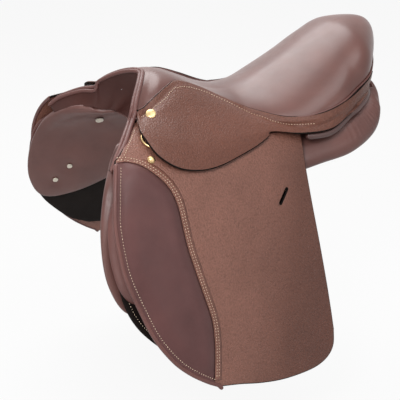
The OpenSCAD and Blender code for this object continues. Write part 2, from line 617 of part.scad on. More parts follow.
module panel_right() color(chestnut) mirror([0, 1, 0]) panel_half();
module panel_studs() color(foam) both() for (t = TUFTS) {
    n = panel_up(t[0], t[1]);
    a = panel_mid(t[0] - 0.05, t[1]) - panel_mid(t[0] + 0.05, t[1]);
    placed(panel_in(t[0], t[1]) - t[2] * n, facing(a, cross(n, a))) cylinder(h = 1.6, r = t[3]);
}

// the lining of the channel between the panels
gullet_ws = [for (k = [0 : 20]) 3.5 + k / 20 * (len(PANEL) - 4.5)];
function gullet_row(w, h) =
    let (p = panel_mid(w, 0) - [0, 2, 0])
    [for (t = [-1, -0.5, 0, 0.5, 1])
        [p[0], p[1] * t, p[2] + 9 * (1 - t * t) - h]];
module gullet_lining() color(chestnut)
    shell([for (w = gullet_ws) gullet_row(w, 0)], [for (w = gullet_ws) gullet_row(w, 1.6)]);

tree();
tree_point_left();
tree_point_right();
head_plate_left();
head_plate_right();
tree_rivets();
seat_webs();
seat_foam();
seat_cover();
pommel_lining();
front_welt();
cantle_welt();
skirt_left();
skirt_right();
skirt_nails();
panel_left();
panel_right();
gullet_lining();
panel_studs();
sweat_flap_left();
sweat_flap_right();
knee_block_left();
knee_block_right();
flap_head_left();
flap_head_right();
dee_rivets();
stirrup_bar_left();
stirrup_bar_right();
stirrup_catch_left();
stirrup_catch_right();
girth_web_left();
girth_web_right();
girth_strap_front_left();
girth_strap_front_right();
girth_strap_middle_left();
girth_strap_middle_right();
girth_strap_rear_left();
girth_strap_rear_right();
flap_left();
flap_right();
knee_pad_left();
knee_pad_right();
flap_stud_left();
flap_stud_right();
skirt_lobe_left();
skirt_lobe_right();
dee_tab_left();
dee_tab_right();
dee_ring_left();
dee_ring_right();
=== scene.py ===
"""Looks of a jumping saddle: leather seat, skirts, flaps, knee pads, panels, stitching and brass."""
import math

import bmesh
import bpy
import numpy as np
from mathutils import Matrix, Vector
from mathutils.geometry import delaunay_2d_cdt


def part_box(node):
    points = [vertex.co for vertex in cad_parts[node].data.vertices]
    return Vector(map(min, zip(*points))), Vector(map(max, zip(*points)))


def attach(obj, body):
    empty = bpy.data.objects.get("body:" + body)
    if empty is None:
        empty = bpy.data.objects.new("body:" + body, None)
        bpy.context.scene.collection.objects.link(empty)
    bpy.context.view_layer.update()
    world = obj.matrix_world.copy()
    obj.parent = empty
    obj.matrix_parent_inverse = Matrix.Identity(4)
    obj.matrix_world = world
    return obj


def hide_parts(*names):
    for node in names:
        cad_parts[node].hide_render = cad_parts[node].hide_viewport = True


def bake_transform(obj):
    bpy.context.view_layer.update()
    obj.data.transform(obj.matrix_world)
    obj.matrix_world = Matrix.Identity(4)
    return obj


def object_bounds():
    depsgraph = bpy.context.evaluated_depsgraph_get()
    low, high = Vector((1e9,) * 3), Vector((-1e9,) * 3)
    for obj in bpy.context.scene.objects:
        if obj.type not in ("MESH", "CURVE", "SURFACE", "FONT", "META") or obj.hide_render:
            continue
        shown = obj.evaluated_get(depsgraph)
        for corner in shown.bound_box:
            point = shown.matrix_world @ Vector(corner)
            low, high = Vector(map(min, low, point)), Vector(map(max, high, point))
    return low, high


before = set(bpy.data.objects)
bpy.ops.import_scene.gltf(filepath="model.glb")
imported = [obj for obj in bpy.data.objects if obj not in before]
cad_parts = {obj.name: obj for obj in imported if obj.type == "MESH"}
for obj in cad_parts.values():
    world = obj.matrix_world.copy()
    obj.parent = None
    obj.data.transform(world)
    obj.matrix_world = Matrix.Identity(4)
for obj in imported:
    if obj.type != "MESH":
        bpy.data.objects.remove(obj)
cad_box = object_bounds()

MM = 0.001
ROOT = "saddle"
SIDES = (("left", 1), ("right", -1))

# the side of the saddle, in millimetres and radians
TOE_OUT = math.radians(11.3)
FALL = math.radians(20)
BEND_R = 135
SIDE_Y = 157
BEND_Y = SIDE_Y - BEND_R * math.cos(FALL)
BEND_Z = -BEND_R * math.sin(FALL)

# leather thicknesses
COVER_T = 2.2
FLAP_T = 4.4
SKIRT_T = 3.6
SWEAT_T = 4

# seat stations: spine x, spine z, edge x, y, z, reach and lift at the spine, rise and bulge at the edge
SEAT = np.array([
    [156, 143.2, 207, 94, 96, 34, 2, 22, -16],
    [146, 144, 186, 83, 99, 32, 2, 22, -14],
    [134.5, 143, 155, 69, 115, 27, 1, 20, -10],
    [119.5, 138.8, 124, 48, 126, 20, 1, 10, -10],
    [99, 130, 105, 41, 125, 17, 0.5, 6, -10],
    [74, 116, 76, 44, 113, 18, 0.5, 6, -10],
    [43, 100, 45, 58, 97, 22, 1, 6, -10],
    [12, 92, 13, 74, 80, 26, 1.5, 10, -8],
    [-14, 93, -11, 90, 70, 32, 1, 12, -4],
    [-52, 104, -52, 114, 58, 40, 0, 16, 3],
    [-95, 124, -98, 133, 53, 50, 0, 30, 9],
    [-138, 147, -150, 132, 56, 58, 2, 52, 16],
    [-174, 167, -190, 117, 64, 62, 6, 74, 24],
    [-202, 184, -238, 84, 82, 62, 10, 90, 38],
    [-218, 190, -274, 0, 96, 62, 12, 98, 50],
], float)
LAST = len(SEAT) - 1


def ramp(t):
    c = np.clip(t, 0, 1)
    return c * c * (3 - 2 * c)


def unit(v):
    v = np.asarray(v, float)
    return v / np.maximum(np.linalg.norm(v, axis=-1, keepdims=True), 1e-9)


def mix(a, b, t):
    return a + (b - a) * t


def arrays(*values):
    """The values as arrays of numbers of one shape."""
    return np.broadcast_arrays(*(np.asarray(a, float) for a in values))


def turned(x, y, z):
    c, s = math.cos(TOE_OUT), math.sin(TOE_OUT)
    return np.stack([x * c - y * s, x * s + y * c, z], -1)


def side(x, s, d):
    """A point of the left side: x forward, s down the fall, d outward."""
    x, s, d = arrays(x, s, d)
    angle = np.where(s >= 0, FALL, FALL - s / BEND_R)
    straight_y = SIDE_Y + s * math.sin(FALL) + d * math.cos(FALL)
    straight_z = -s * math.cos(FALL) + d * math.sin(FALL)
    y = np.where(s >= 0, straight_y, BEND_Y + (BEND_R + d) * np.cos(angle))
    z = np.where(s >= 0, straight_z, BEND_Z + (BEND_R + d) * np.sin(angle))
    return turned(x, y, z)


def laid(flat, d):
    """Flat points laid on the left side, at a distance outward."""
    return side(flat[..., 0], flat[..., 1], d)


def side_out(s):
    s = np.asarray(s, float)
    angle = np.where(s >= 0, FALL, FALL - s / BEND_R)
    return turned(np.zeros_like(s), np.cos(angle), np.sin(angle))


def between(a, b, c, d, t):
    """A smooth curve from b to c, with a before them and d after them."""
    return 0.5 * (2 * b + (c - a) * t + (2 * a - 5 * b + 4 * c - d) * t ** 2
                  + (3 * b - a - 3 * c + d) * t ** 3)


def flow(p, i, t):
    """The curve through a list of points, padded by one at each end, from point i on."""
    t = t.reshape(t.shape + (1,) * (p.ndim - 1))
    return between(p[i], p[i + 1], p[i + 2], p[i + 3], t)


def along(points, u):
    p = np.asarray(points, float)
    u = np.asarray(u, float)
    i = np.clip(np.floor(u).astype(int), 0, len(p) - 2)
    padded = np.concatenate([[2 * p[0] - p[1]], p, [2 * p[-1] - p[-2]]])
    return flow(padded, i, u - i)


def smooth(points, n):
    return along(points, np.linspace(0, len(points) - 1, n))


def spaced(path, step=None, count=None):
    """The same path with points at even distances."""
    path = np.asarray(path, float)
    run = np.concatenate([[0], np.cumsum(np.linalg.norm(np.diff(path, axis=0), axis=1))])
    n = count or max(2, int(round(run[-1] / step)) + 1)
    at = np.linspace(0, run[-1], n)
    return np.stack([np.interp(at, run, path[:, k]) for k in range(path.shape[1])], 1)


def flip(points):
    return np.asarray(points) * np.array([1, -1, 1])


# the seat surface: in the first rows it leaves the spine more to the side
SIDEWAYS_ROWS = 9
SIDEWAYS_TURN = 0.4
# height of a line inside the saddle, from which the seat faces away
CORE_Z = 40
UP = np.array([0, 0, 1])


def seat_row(k):
    r = SEAT[k]
    o = unit([r[2] - r[0], r[3], 0])
    out = unit([o[0] * SIDEWAYS_TURN, o[1], 0]) if k < SIDEWAYS_ROWS else o
    spine, edge = np.array([r[0], 0, r[1]]), r[2:5]
    return np.array([spine, spine + out * r[5] + UP * r[6], edge + out * r[8] + UP * r[7], edge])


ROWS = [seat_row(k) for k in range(LAST + 1)]
SEAT_CTRL = np.array([2 * ROWS[0] - ROWS[1]] + ROWS + [flip(ROWS[LAST - 1])])


def seat(u, v):
    u, v = arrays(u, v)
    i = np.clip(np.floor(u).astype(int), 0, LAST - 1)
    c = flow(SEAT_CTRL, i, u - i)
    v = v[..., None]
    w = 1 - v
    return (c[..., 0, :] * w ** 3 + 3 * c[..., 1, :] * w * w * v
            + 3 * c[..., 2, :] * w * v * v + c[..., 3, :] * v ** 3)


def seat_up(u, v):
    u, v = arrays(u, v)
    e = 0.02
    n = unit(np.cross(seat(u + e, v) - seat(u - e, v), seat(u, v + e) - seat(u, v - e)))
    core = seat(u, 0) * np.array([1, 0, 0]) + CORE_Z * UP
    turn = np.sum(n * (seat(u, v) - core), -1, keepdims=True) < 0
    n = np.where(turn, -n, n)
    middle = ((v == 0) | (u == LAST))[..., None]
    return np.where(middle, unit(n * np.array([1, 0, 1])), n)


def sunk(u, v, d):
    return seat(u, v) - np.asarray(d, float)[..., None] * seat_up(u, v)


# meshes
def make(name, verts, faces, materials, face_slots=None):
    mesh = bpy.data.meshes.new(name)
    points = [tuple(p) for p in np.asarray(verts, float) * MM]
    mesh.from_pydata(points, [], [tuple(map(int, f)) for f in faces])
    for m in materials:
        mesh.materials.append(m)
    if face_slots is not None:
        mesh.polygons.foreach_set("material_index", np.asarray(face_slots, np.int32))
    mesh.polygons.foreach_set("use_smooth", np.full(len(mesh.polygons), True))
    mesh.update()
    obj = bpy.data.objects.new(name, mesh)
    bpy.context.scene.collection.objects.link(obj)
    return obj


def solid(name, verts, faces, materials, face_slots=None, merge=0.005):
    """A closed mesh: joins points closer than merge millimetres and turns every face outward."""
    obj = make(name, verts, faces, materials, face_slots)
    b = bmesh.new()
    b.from_mesh(obj.data)
    bmesh.ops.remove_doubles(b, verts=b.verts, dist=merge * MM)
    bmesh.ops.dissolve_degenerate(b, dist=1e-7, edges=b.edges)
    bmesh.ops.recalc_face_normals(b, faces=b.faces)
    b.to_mesh(obj.data)
    b.free()
    return obj


def grid_faces(n, m, wrap=False, start=0):
    i, j = np.meshgrid(np.arange(n - 1), np.arange(m if wrap else m - 1), indexing="ij")
    k = (j + 1) % m
    quads = [i * m + j, i * m + k, (i + 1) * m + k, (i + 1) * m + j]
    return (np.stack(quads, -1).reshape(-1, 4) + start).tolist()


def normals_of(grid):
    a = np.gradient(grid, axis=0)
    b = np.gradient(grid, axis=1)
    return unit(np.cross(a, b))


def border(n, m):
    """The places round the edge of a grid, in order."""
    return ([(0, j) for j in range(m)] + [(i, m - 1) for i in range(1, n)]
            + [(n - 1, j) for j in range(m - 2, -1, -1)] + [(i, 0) for i in range(n - 2, 0, -1)])


def bands(rings):
    """Faces between closed rings of point numbers."""
    k = len(rings[0])
    return [[a[c], a[(c + 1) % k], b[(c + 1) % k], b[c]] for a, b in zip(rings, rings[1:]) for c in range(k)]


def shell(grid, inner, arcs=()):
    """A closed sheet between two grids, with rings of points round its rim, which is slot 1."""
    n, m = grid.shape[:2]
    verts = np.concatenate([grid.reshape(-1, 3), inner.reshape(-1, 3), *arcs])
    top = grid_faces(n, m)
    low = [f[::-1] for f in grid_faces(n, m, start=n * m)]
    ids = [i * m + j for i, j in border(n, m)]
    k = len(ids)
    middle = [[2 * n * m + r * k + c for c in range(k)] for r in range(len(arcs))]
    rim = bands([ids, *middle, [c + n * m for c in ids]])
    return verts, top + low + rim, [0] * (len(top) + len(low)) + [1] * len(rim)


# angles round a half-round edge, without its ends
EDGE_ANGLES = np.linspace(0, math.pi, 7)[1:-1]


def rounded_shell(grid, thick):
    """A sheet below a grid with a half-round rim. Slot 1 is the rim."""
    n, m = grid.shape[:2]
    normal = normals_of(grid)
    loop = border(n, m)
    edge = np.array([grid[i, j] for i, j in loop])
    down = np.array([normal[i, j] for i, j in loop])
    ahead = unit(np.roll(edge, -1, 0) - np.roll(edge, 1, 0))
    out = unit(np.cross(ahead, down))
    inward = np.array([grid[min(max(i, 1), n - 2), min(max(j, 1), m - 2)] for i, j in loop])
    out *= np.sign(np.sum(out * (edge - inward), 1, keepdims=True))
    half = thick / 2
    arcs = [edge + down * half * (1 - math.cos(a)) + out * half * math.sin(a) for a in EDGE_ANGLES]
    return shell(grid, grid + normal * thick, arcs)


def capped(n, m):
    """Faces of n rings of m points, closed at both ends."""
    return grid_faces(n, m, wrap=True) + [list(range(m))[::-1], [(n - 1) * m + j for j in range(m)]]


def frames(path):
    """Tangent and two cross directions along a path, turning as little as they can."""
    t = unit(np.gradient(path, axis=0))
    a = np.cross(t[0], [0.3, 0.1, 1])
    sides = []
    for k in range(len(path)):
        a = unit(a - np.dot(a, t[k]) * t[k])
        sides.append(a)
    a = np.array(sides)
    return t, a, np.cross(t, a)


# widths of the two rings that round the end of a tube
CAPS = np.array([0.35, 0.75])


def tube(path, radius, sides=12):
    """A round tube with rounded ends."""
    t, a, b = frames(path)
    reach = radius * np.sqrt(1 - CAPS ** 2)[:, None]
    path = np.concatenate([path[0] - t[0] * reach, path, path[-1] + t[-1] * reach[::-1]])
    r = radius * np.concatenate([CAPS, np.ones(len(t)), CAPS[::-1]])
    a, b = (np.concatenate([c[:1], c[:1], c, c[-1:], c[-1:]])[:, None] for c in (a, b))
    angle = (np.arange(sides) * 2 * math.pi / sides)[:, None]
    rings = path[:, None] + r[:, None, None] * (a * np.cos(angle) + b * np.sin(angle))
    return rings.reshape(-1, 3), capped(len(path), sides)


def joined(parts):
    """Several lists of points and faces as one."""
    verts, faces, base = [], [], 0
    for v, f in parts:
        verts.append(v)
        faces += [[k + base for k in face] for face in f]
        base += len(v)
    return np.concatenate(verts), faces


# flat outlines on the side: spacing of the rows of points in a filled one, and their distance from its edge
ROW_STEP = 0.87
EDGE_STEP = 0.55
# how far a half-round edge stands out, as a share of half the thickness
EDGE_REACH = 0.8


def closed(points):
    return np.concatenate([points, points[:1]])


def inset(outline, d):
    """A closed outline moved inward by d; the outline runs round its middle in either sense."""
    p = outline
    before, after = np.roll(p, 1, 0), np.roll(p, -1, 0)
    t = unit(unit(p - before) + unit(after - p))
    area = 0.5 * np.sum(p[:, 0] * after[:, 1] - after[:, 0] * p[:, 1])
    n = np.stack([-t[:, 1], t[:, 0]], 1) * np.sign(area)
    return p + n * d


def inside(points, outline):
    x, y = points[:, 0][:, None], points[:, 1][:, None]
    p, q = outline, np.roll(outline, -1, 0)
    crosses = (p[:, 1] > y) != (q[:, 1] > y)
    slope = np.where(q[:, 1] == p[:, 1], 1e-9, q[:, 1] - p[:, 1])
    at = (q[:, 0] - p[:, 0]) * (y - p[:, 1]) / slope + p[:, 0]
    return (crosses & (x < at)).sum(1) % 2 == 1


def distance(points, path):
    """How far each flat point lies from an open path."""
    a, b = path[:-1], path[1:]
    d = b - a
    t = np.einsum("pkc,kc->pk", points[:, None] - a, d) / np.maximum((d * d).sum(1), 1e-9)
    near = a + np.clip(t, 0, 1)[..., None] * d
    return np.linalg.norm(points[:, None] - near, axis=2).min(1)


def filled(outline, step, holes=()):
    """Triangles inside an outline, with even points in its middle. The outline's points come first."""
    loops = [outline, *holes]
    low, high = outline.min(0), outline.max(0)
    rows = np.arange(low[1], high[1], step * ROW_STEP)
    grid = np.array([[x + (0.5 * step if k % 2 else 0), y]
                     for k, y in enumerate(rows) for x in np.arange(low[0], high[0], step)])
    keep = inside(grid, outline)
    for loop in loops:
        keep &= distance(grid, closed(loop)) > EDGE_STEP * step
    for h in holes:
        keep &= ~inside(grid, h)
    points = np.concatenate(loops + [grid[keep]])
    edges, base = [], 0
    for loop in loops:
        n = len(loop)
        edges += [(base + k, base + (k + 1) % n) for k in range(n)]
        base += n
    result = delaunay_2d_cdt([Vector(p) for p in points], edges, [], 1, 1e-6)
    flat = np.array([tuple(p) for p in result[0]])
    faces = [list(f) for f in result[2]]
    for h in holes:
        in_hole = inside(np.array([flat[f].mean(0) for f in faces]), h)
        faces = [f for f, gone in zip(faces, in_hole) if not gone]
    return flat, faces


def sheet(outline, step, depth, thick, holes=()):
    """A cut sheet on the side, with a half-round edge in slot 1; depth is that of its middle."""
    flat, faces = filled(outline, step, holes)
    n = len(flat)
    half = thick / 2
    verts = [laid(flat, depth + half), laid(flat, depth - half)]
    low = [[k + n for k in f[::-1]] for f in faces]
    rim, base, total = [], 0, 2 * n
    for index, loop in enumerate([outline, *holes]):
        k = len(loop)
        out = (loop - inset(loop, 1)) * (1 if index == 0 else -1)
        ids = [base + c for c in range(k)]
        rings = [ids]
        for a in EDGE_ANGLES:
            edge = loop + out * half * EDGE_REACH * math.sin(a)
            verts.append(laid(edge, depth + half * math.cos(a)))
            rings.append([total + c for c in range(k)])
            total += k
        rings.append([c + n for c in ids])
        rim += bands(rings)
        base += k
    return np.concatenate(verts), faces + low + rim, [0] * (2 * len(faces)) + [1] * len(rim)


# materials
def nodes_of(name):
    m = bpy.data.materials.new(name)
    m.use_nodes = True
    tree = m.node_tree
    shader = tree.nodes["Principled BSDF"]
    coords = tree.nodes.new("ShaderNodeTexCoord").outputs["Object"]
    return m, tree, shader, coords


def feed(tree, n, inputs):
    """Sets inputs of a node, by name or number, to values or to links from other nodes."""
    for key, value in inputs.items():
        if isinstance(value, bpy.types.NodeSocket):
            tree.links.new(value, n.inputs[key])
        else:
            n.inputs[key].default_value = value
    return n


def node(tree, kind, inputs):
    return feed(tree, tree.nodes.new(kind), inputs)


def noise(tree, coords, scale, detail=3, stretch=None):
    if stretch:
        coords = node(tree, "ShaderNodeMapping", {"Vector": coords, "Scale": stretch}).outputs["Vector"]
    inputs = {"Vector": coords, "Scale": scale, "Detail": detail, "Roughness": 0.55}
    return node(tree, "ShaderNodeTexNoise", inputs).outputs["Fac"]


def cells(tree, coords, scale, feature="F1"):
    n = tree.nodes.new("ShaderNodeTexVoronoi")
    n.feature = feature
    return feed(tree, n, {"Vector": coords, "Scale": scale}).outputs["Distance"]


def colours(tree, fac, stops):
    n = node(tree, "ShaderNodeValToRGB", {"Fac": fac})
    marks = n.color_ramp.elements
    for mark, (at, c) in ((marks[0], stops[0]), (marks[1], stops[-1])):
        mark.position = at
        mark.color = (*c, 1)
    for at, c in stops[1:-1]:
        marks.new(at).color = (*c, 1)
    return n.outputs["Color"]


def clouded(tree, coords, base, scale, stops):
    """Soft clouds of a colour; a stop is a place and its shares of the colour."""
    tones = [(at, tuple(c * s for c, s in zip(base, shares))) for at, shares in stops]
    return colours(tree, noise(tree, coords, scale, 4), tones)


def spread(tree, fac, low, high, a=0.3, b=0.7):
    inputs = {"Value": fac, "From Min": a, "From Max": b, "To Min": low, "To Max": high}
    return node(tree, "ShaderNodeMapRange", inputs).outputs["Result"]


def multiplied(tree, a, b, amount):
    n = tree.nodes.new("ShaderNodeMix")
    n.data_type = "RGBA"
    n.blend_type = "MULTIPLY"
    return feed(tree, n, {"Factor": amount, "A": a, "B": b}).outputs["Result"]


def reckoned(tree, operation, a, b):
    """A number worked out from two others."""
    n = tree.nodes.new("ShaderNodeMath")
    n.operation = operation
    return feed(tree, n, {0: a, 1: b}).outputs["Value"]


def bumps(tree, shader, layers):
    """Stacks bump maps: each layer is a height, a strength and a depth in millimetres."""
    normal = {}
    for height, strength, depth in layers:
        inputs = {"Height": height, "Strength": strength, "Distance": depth * MM, **normal}
        normal = {"Normal": node(tree, "ShaderNodeBump", inputs).outputs["Normal"]}
    feed(tree, shader, normal)


def smooth_leather(name, base, wax=0.0, rough=(0.4, 0.52), gloss=0.42):
    """Calf leather: fine pores, soft clouds of tone, a waxed surface."""
    m, tree, shader, coords = nodes_of(name)
    tone = clouded(tree, coords, base, 14, [(0.25, (0.78, 0.74, 0.74)), (0.5, (1, 1, 1)),
                                            (0.8, (1.22, 1.2, 1.18))])
    pores = cells(tree, coords, 900)
    pore_tone = colours(tree, pores, [(0.0, (0.86, 0.84, 0.84)), (0.5, (1, 1, 1))])
    feed(tree, shader, {
        "Base Color": multiplied(tree, tone, pore_tone, 0.8),
        "Roughness": spread(tree, noise(tree, coords, 60), *rough),
        "Specular IOR Level": gloss, "Coat Weight": wax, "Coat Roughness": 0.32,
    })
    bumps(tree, shader, [(noise(tree, coords, 45, 4), 0.25, 0.5), (pores, 0.3, 0.12)])
    return m


# width of a pebble in millimetres, and the direction along which the painted shade lightens
PEBBLE = 2.5
SHADE_DIRECTION = (0.75, 0, 0.27)


def with_painted_shade(tree, tone):
    """Painted shade: darkens a tone to the back and the bottom of a piece, where less light falls."""
    box = tree.nodes.new("ShaderNodeTexCoord").outputs["Generated"]
    across = tree.nodes.new("ShaderNodeVectorMath")
    across.operation = "DOT_PRODUCT"
    feed(tree, across, {0: box, 1: SHADE_DIRECTION})
    shade_ramp = colours(tree, across.outputs["Value"], [(0.08, (0.50, 0.40, 0.35)), (0.24, (0.60, 0.51, 0.46)),
                                                  (0.39, (0.92, 0.90, 0.89)), (0.52, (1, 1, 1))])
    return multiplied(tree, tone, shade_ramp, 1.0)


def grain_leather(name, base, painted_shade=False):
    """Leather with raised pebbles and darker valleys between them."""
    m, tree, shader, coords = nodes_of(name)
    tone = clouded(tree, coords, base, 10, [(0.25, (0.84, 0.82, 0.8)), (0.55, (1, 1, 1)),
                                            (0.85, (1.16, 1.15, 1.14))])
    pebbles = cells(tree, coords, 1 / (PEBBLE * MM), "SMOOTH_F1")
    valley = colours(tree, pebbles, [(0.1, (1.04, 1.04, 1.04)), (0.42, (0.95, 0.94, 0.94)),
                                     (0.75, (0.72, 0.7, 0.69))])
    speckle = colours(tree, noise(tree, coords, 330, 2), [(0.35, (0.86, 0.85, 0.84)),
                                                          (0.65, (1.1, 1.1, 1.1))])
    tone = multiplied(tree, multiplied(tree, tone, valley, 0.9), speckle, 0.75)
    # painted shade: the tone darkens to the back and the bottom of the piece
    if painted_shade:
        tone = with_painted_shade(tree, tone)
    rough = spread(tree, pebbles, 0.36, 0.5, 0.1, 0.7)
    feed(tree, shader, {"Base Color": tone, "Roughness": rough, "Specular IOR Level": 0.38})
    height = reckoned(tree, "SUBTRACT", 1.0, pebbles)
    bumps(tree, shader, [(noise(tree, coords, 30, 4), 0.2, 0.6), (height, 1.0, 0.9)])
    return m


def plain(name, base, rough=(0.35, 0.5), metallic=0.0, scale=120, depth=0.08, vary=0.12, stretch=None,
          gloss=0.5):
    """Paint, plastic, thread or metal with slight unevenness in tone and polish."""
    m, tree, shader, coords = nodes_of(name)
    fac = noise(tree, coords, scale, stretch=stretch)
    dark = tuple(c * (1 - vary) for c in base)
    light = tuple(min(1, c * (1 + vary)) for c in base)
    feed(tree, shader, {
        "Base Color": colours(tree, fac, [(0.3, dark), (0.7, light)]),
        "Roughness": spread(tree, noise(tree, coords, scale * 0.6, 2), *rough),
        "Metallic": metallic, "Specular IOR Level": gloss,
    })
    bumps(tree, shader, [(fac, 0.3, depth)])
    return m


SMOOTH = smooth_leather("smooth_leather", (0.125, 0.048, 0.041))
SEAT_LEATHER = smooth_leather("seat_leather", (0.118, 0.044, 0.035), 0.4, (0.34, 0.44), 0.32)
PAD_LEATHER = smooth_leather("pad_leather", (0.100, 0.041, 0.039), 0.0, (0.46, 0.56), 0.3)
# the facing under the arch is a darker copy of the smooth leather: painted shade for the shadow in the hollow
SHADED_FACING = smooth_leather("shaded_facing_leather", (0.060, 0.021, 0.017), 0.0, (0.45, 0.55), 0.18)
PANEL_LEATHER = smooth_leather("panel_leather", (0.118, 0.047, 0.039), 0.1)
# the grain leather comes in copies of different tone: the skirts' is darker and the flaps' and lips' lighter,
# painted shade and light for how the light falls on them
GRAIN = grain_leather("grain_leather", (0.132, 0.045, 0.027))
# the flaps' leather carries painted shade to its back and bottom
FLAP_LEATHER = grain_leather("flap_leather", (0.232, 0.102, 0.074), True)
LIP_LEATHER = grain_leather("lip_leather", (0.222, 0.095, 0.068))
ROLL_LEATHER = smooth_leather("roll_leather", (0.075, 0.033, 0.029), 0.2, (0.34, 0.44))
DARK = smooth_leather("dark_leather", (0.010, 0.007, 0.006), 0.0, (0.5, 0.65), 0.08)
EDGE = plain("edge_paint", (0.012, 0.009, 0.008), (0.6, 0.75), gloss=0.03)
THREAD = plain("thread", (0.74, 0.58, 0.42), (0.55, 0.7), scale=900, vary=0.25)
BRASS = plain("brass", (0.62, 0.45, 0.23), (0.3, 0.42), 1.0, 300, 0.03)
STEEL = plain("steel", (0.55, 0.55, 0.57), (0.25, 0.4), 1.0, 260, 0.03, stretch=(1, 0.1, 1))
TREE = plain("tree_plastic", (0.018, 0.018, 0.02), (0.4, 0.55), scale=400)
PALE = plain("pale_plastic", (0.66, 0.60, 0.50), (0.4, 0.5), scale=200)
WEB = plain("webbing", (0.48, 0.42, 0.31), (0.75, 0.9), scale=700, depth=0.3, vary=0.3, stretch=(1, 1, 0.3))


# placing pieces
def put(obj, body, slot, *nodes):
    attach(obj, body)
    if nodes:
        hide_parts(*nodes)
    return obj


def mirrored(verts, faces, sign):
    if sign > 0:
        return verts, faces
    return flip(verts), [f[::-1] for f in faces]


def pair(verts, faces):
    """The left piece and its mirror image, each with the name of its side."""
    return [(name, *mirrored(verts, faces, sign)) for name, sign in SIDES]


def doubled(verts, faces):
    """The left half and its mirror image as one piece."""
    return joined([mirrored(verts, faces, sign) for _, sign in SIDES])


# camera, floor and light
VIEW_TARGET = Vector((0.050, 0, -0.120))
VIEW_DISTANCE = 1.672
VIEW_AZIMUTH = math.radians(154.9)
VIEW_ELEVATION = math.radians(25.7)
LENS = 81
SENSOR = 36


def aimed(name, data, place, target):
    """Puts a camera or a lamp at a place and points it at a target."""
    obj = bpy.data.objects.new(name, data)
    obj.location = place
    obj.rotation_euler = (Vector(target) - Vector(place)).to_track_quat("-Z", "Y").to_euler()
    bpy.context.scene.collection.objects.link(obj)
    return obj


def camera():
    data = bpy.data.cameras.new("camera")
    data.lens = LENS
    data.sensor_width = SENSOR
    level = math.cos(VIEW_ELEVATION)
    away = Vector((math.sin(VIEW_AZIMUTH) * level, -math.cos(VIEW_AZIMUTH) * level, math.sin(VIEW_ELEVATION)))
    bpy.context.scene.camera = aimed("camera", data, VIEW_TARGET + away * VIEW_DISTANCE, VIEW_TARGET)


def seen(tree):
    """1 for rays that show the background: from the camera, a mirror or glass."""
    path = tree.nodes.new("ShaderNodeLightPath").outputs
    total = path["Is Camera Ray"]
    for name in ("Is Glossy Ray", "Is Transmission Ray"):
        total = reckoned(tree, "MAXIMUM", total, path[name])
    return total


def chosen(tree, share, first, second, output):
    """Shows the second shader by a share, and the first one for the rest."""
    n = node(tree, "ShaderNodeMixShader", {"Fac": share, 1: first, 2: second})
    feed(tree, tree.nodes[output], {"Surface": n.outputs["Shader"]})


# the floor in millimetres: how far it lies below the saddle and reaches, its tone and its share of glow
FLOOR_DROP = 160
FLOOR_REACH = 6000
FLOOR_GREY = 0.65
FLOOR_GLOW = 0.92
# strength of the light from all round
AMBIENT = 0.12
WHITE = (1, 1, 1, 1)
# place, target and size in metres, and watts
LAMPS = (
    ("far_light", (0.08, -1.05, 1.6), (-0.05, 0, 0.1), 1.8, 40),
    ("top_light", (-0.1, 1.0, 1.55), (0, 0.1, 0), 1.1, 11),
    ("key_light", (0.8, 0.95, 0.85), (0.1, 0.15, -0.1), 0.4, 11),
    ("side_light", (-0.6, 1.5, 0.35), (0.08, 0.2, -0.1), 0.6, 3),
    ("front_light", (1.3, 0.9, -0.3), (0.1, -0.1, 0), 0.9, 5),
)


def studio():
    scene = bpy.context.scene
    scene.view_settings.view_transform = "Standard"
    world = bpy.data.worlds.new("studio")
    scene.world = world
    world.use_nodes = True
    tree = world.node_tree
    soft = feed(tree, tree.nodes["Background"], {"Color": WHITE, "Strength": AMBIENT})
    white = node(tree, "ShaderNodeBackground", {"Color": WHITE})
    chosen(tree, seen(tree), soft.outputs["Background"], white.outputs["Background"], "World Output")
    level = cad_box[0][2] / MM - FLOOR_DROP
    corners = [(FLOOR_REACH * a, FLOOR_REACH * b, level) for a, b in ((-1, -1), (1, -1), (1, 1), (-1, 1))]
    floor = make("floor", corners, [(0, 1, 2, 3)], [floor_material()])
    for row in LAMPS:
        lamp(*row)


def floor_material():
    m, tree, shader, _ = nodes_of("floor")
    feed(tree, shader, {"Base Color": (FLOOR_GREY, FLOOR_GREY, FLOOR_GREY, 1), "Roughness": 0.9})
    glow = tree.nodes.new("ShaderNodeEmission")
    share = reckoned(tree, "MULTIPLY", seen(tree), FLOOR_GLOW)
    chosen(tree, share, shader.outputs["BSDF"], glow.outputs["Emission"], "Material Output")
    return m


def lamp(name, place, target, size, watts):
    data = bpy.data.lights.new(name, "AREA")
    data.shape = "DISK"
    data.size = size
    data.energy = watts
    aimed(name, data, place, target)


# stitching
STITCH_PITCH = 4.8
STITCH_LENGTH = 2.2
STITCH_WIDTH = 1.1
STITCH_TILT = math.radians(7)
STITCH_LIFT = 0.15
STITCH_SIDES = 6


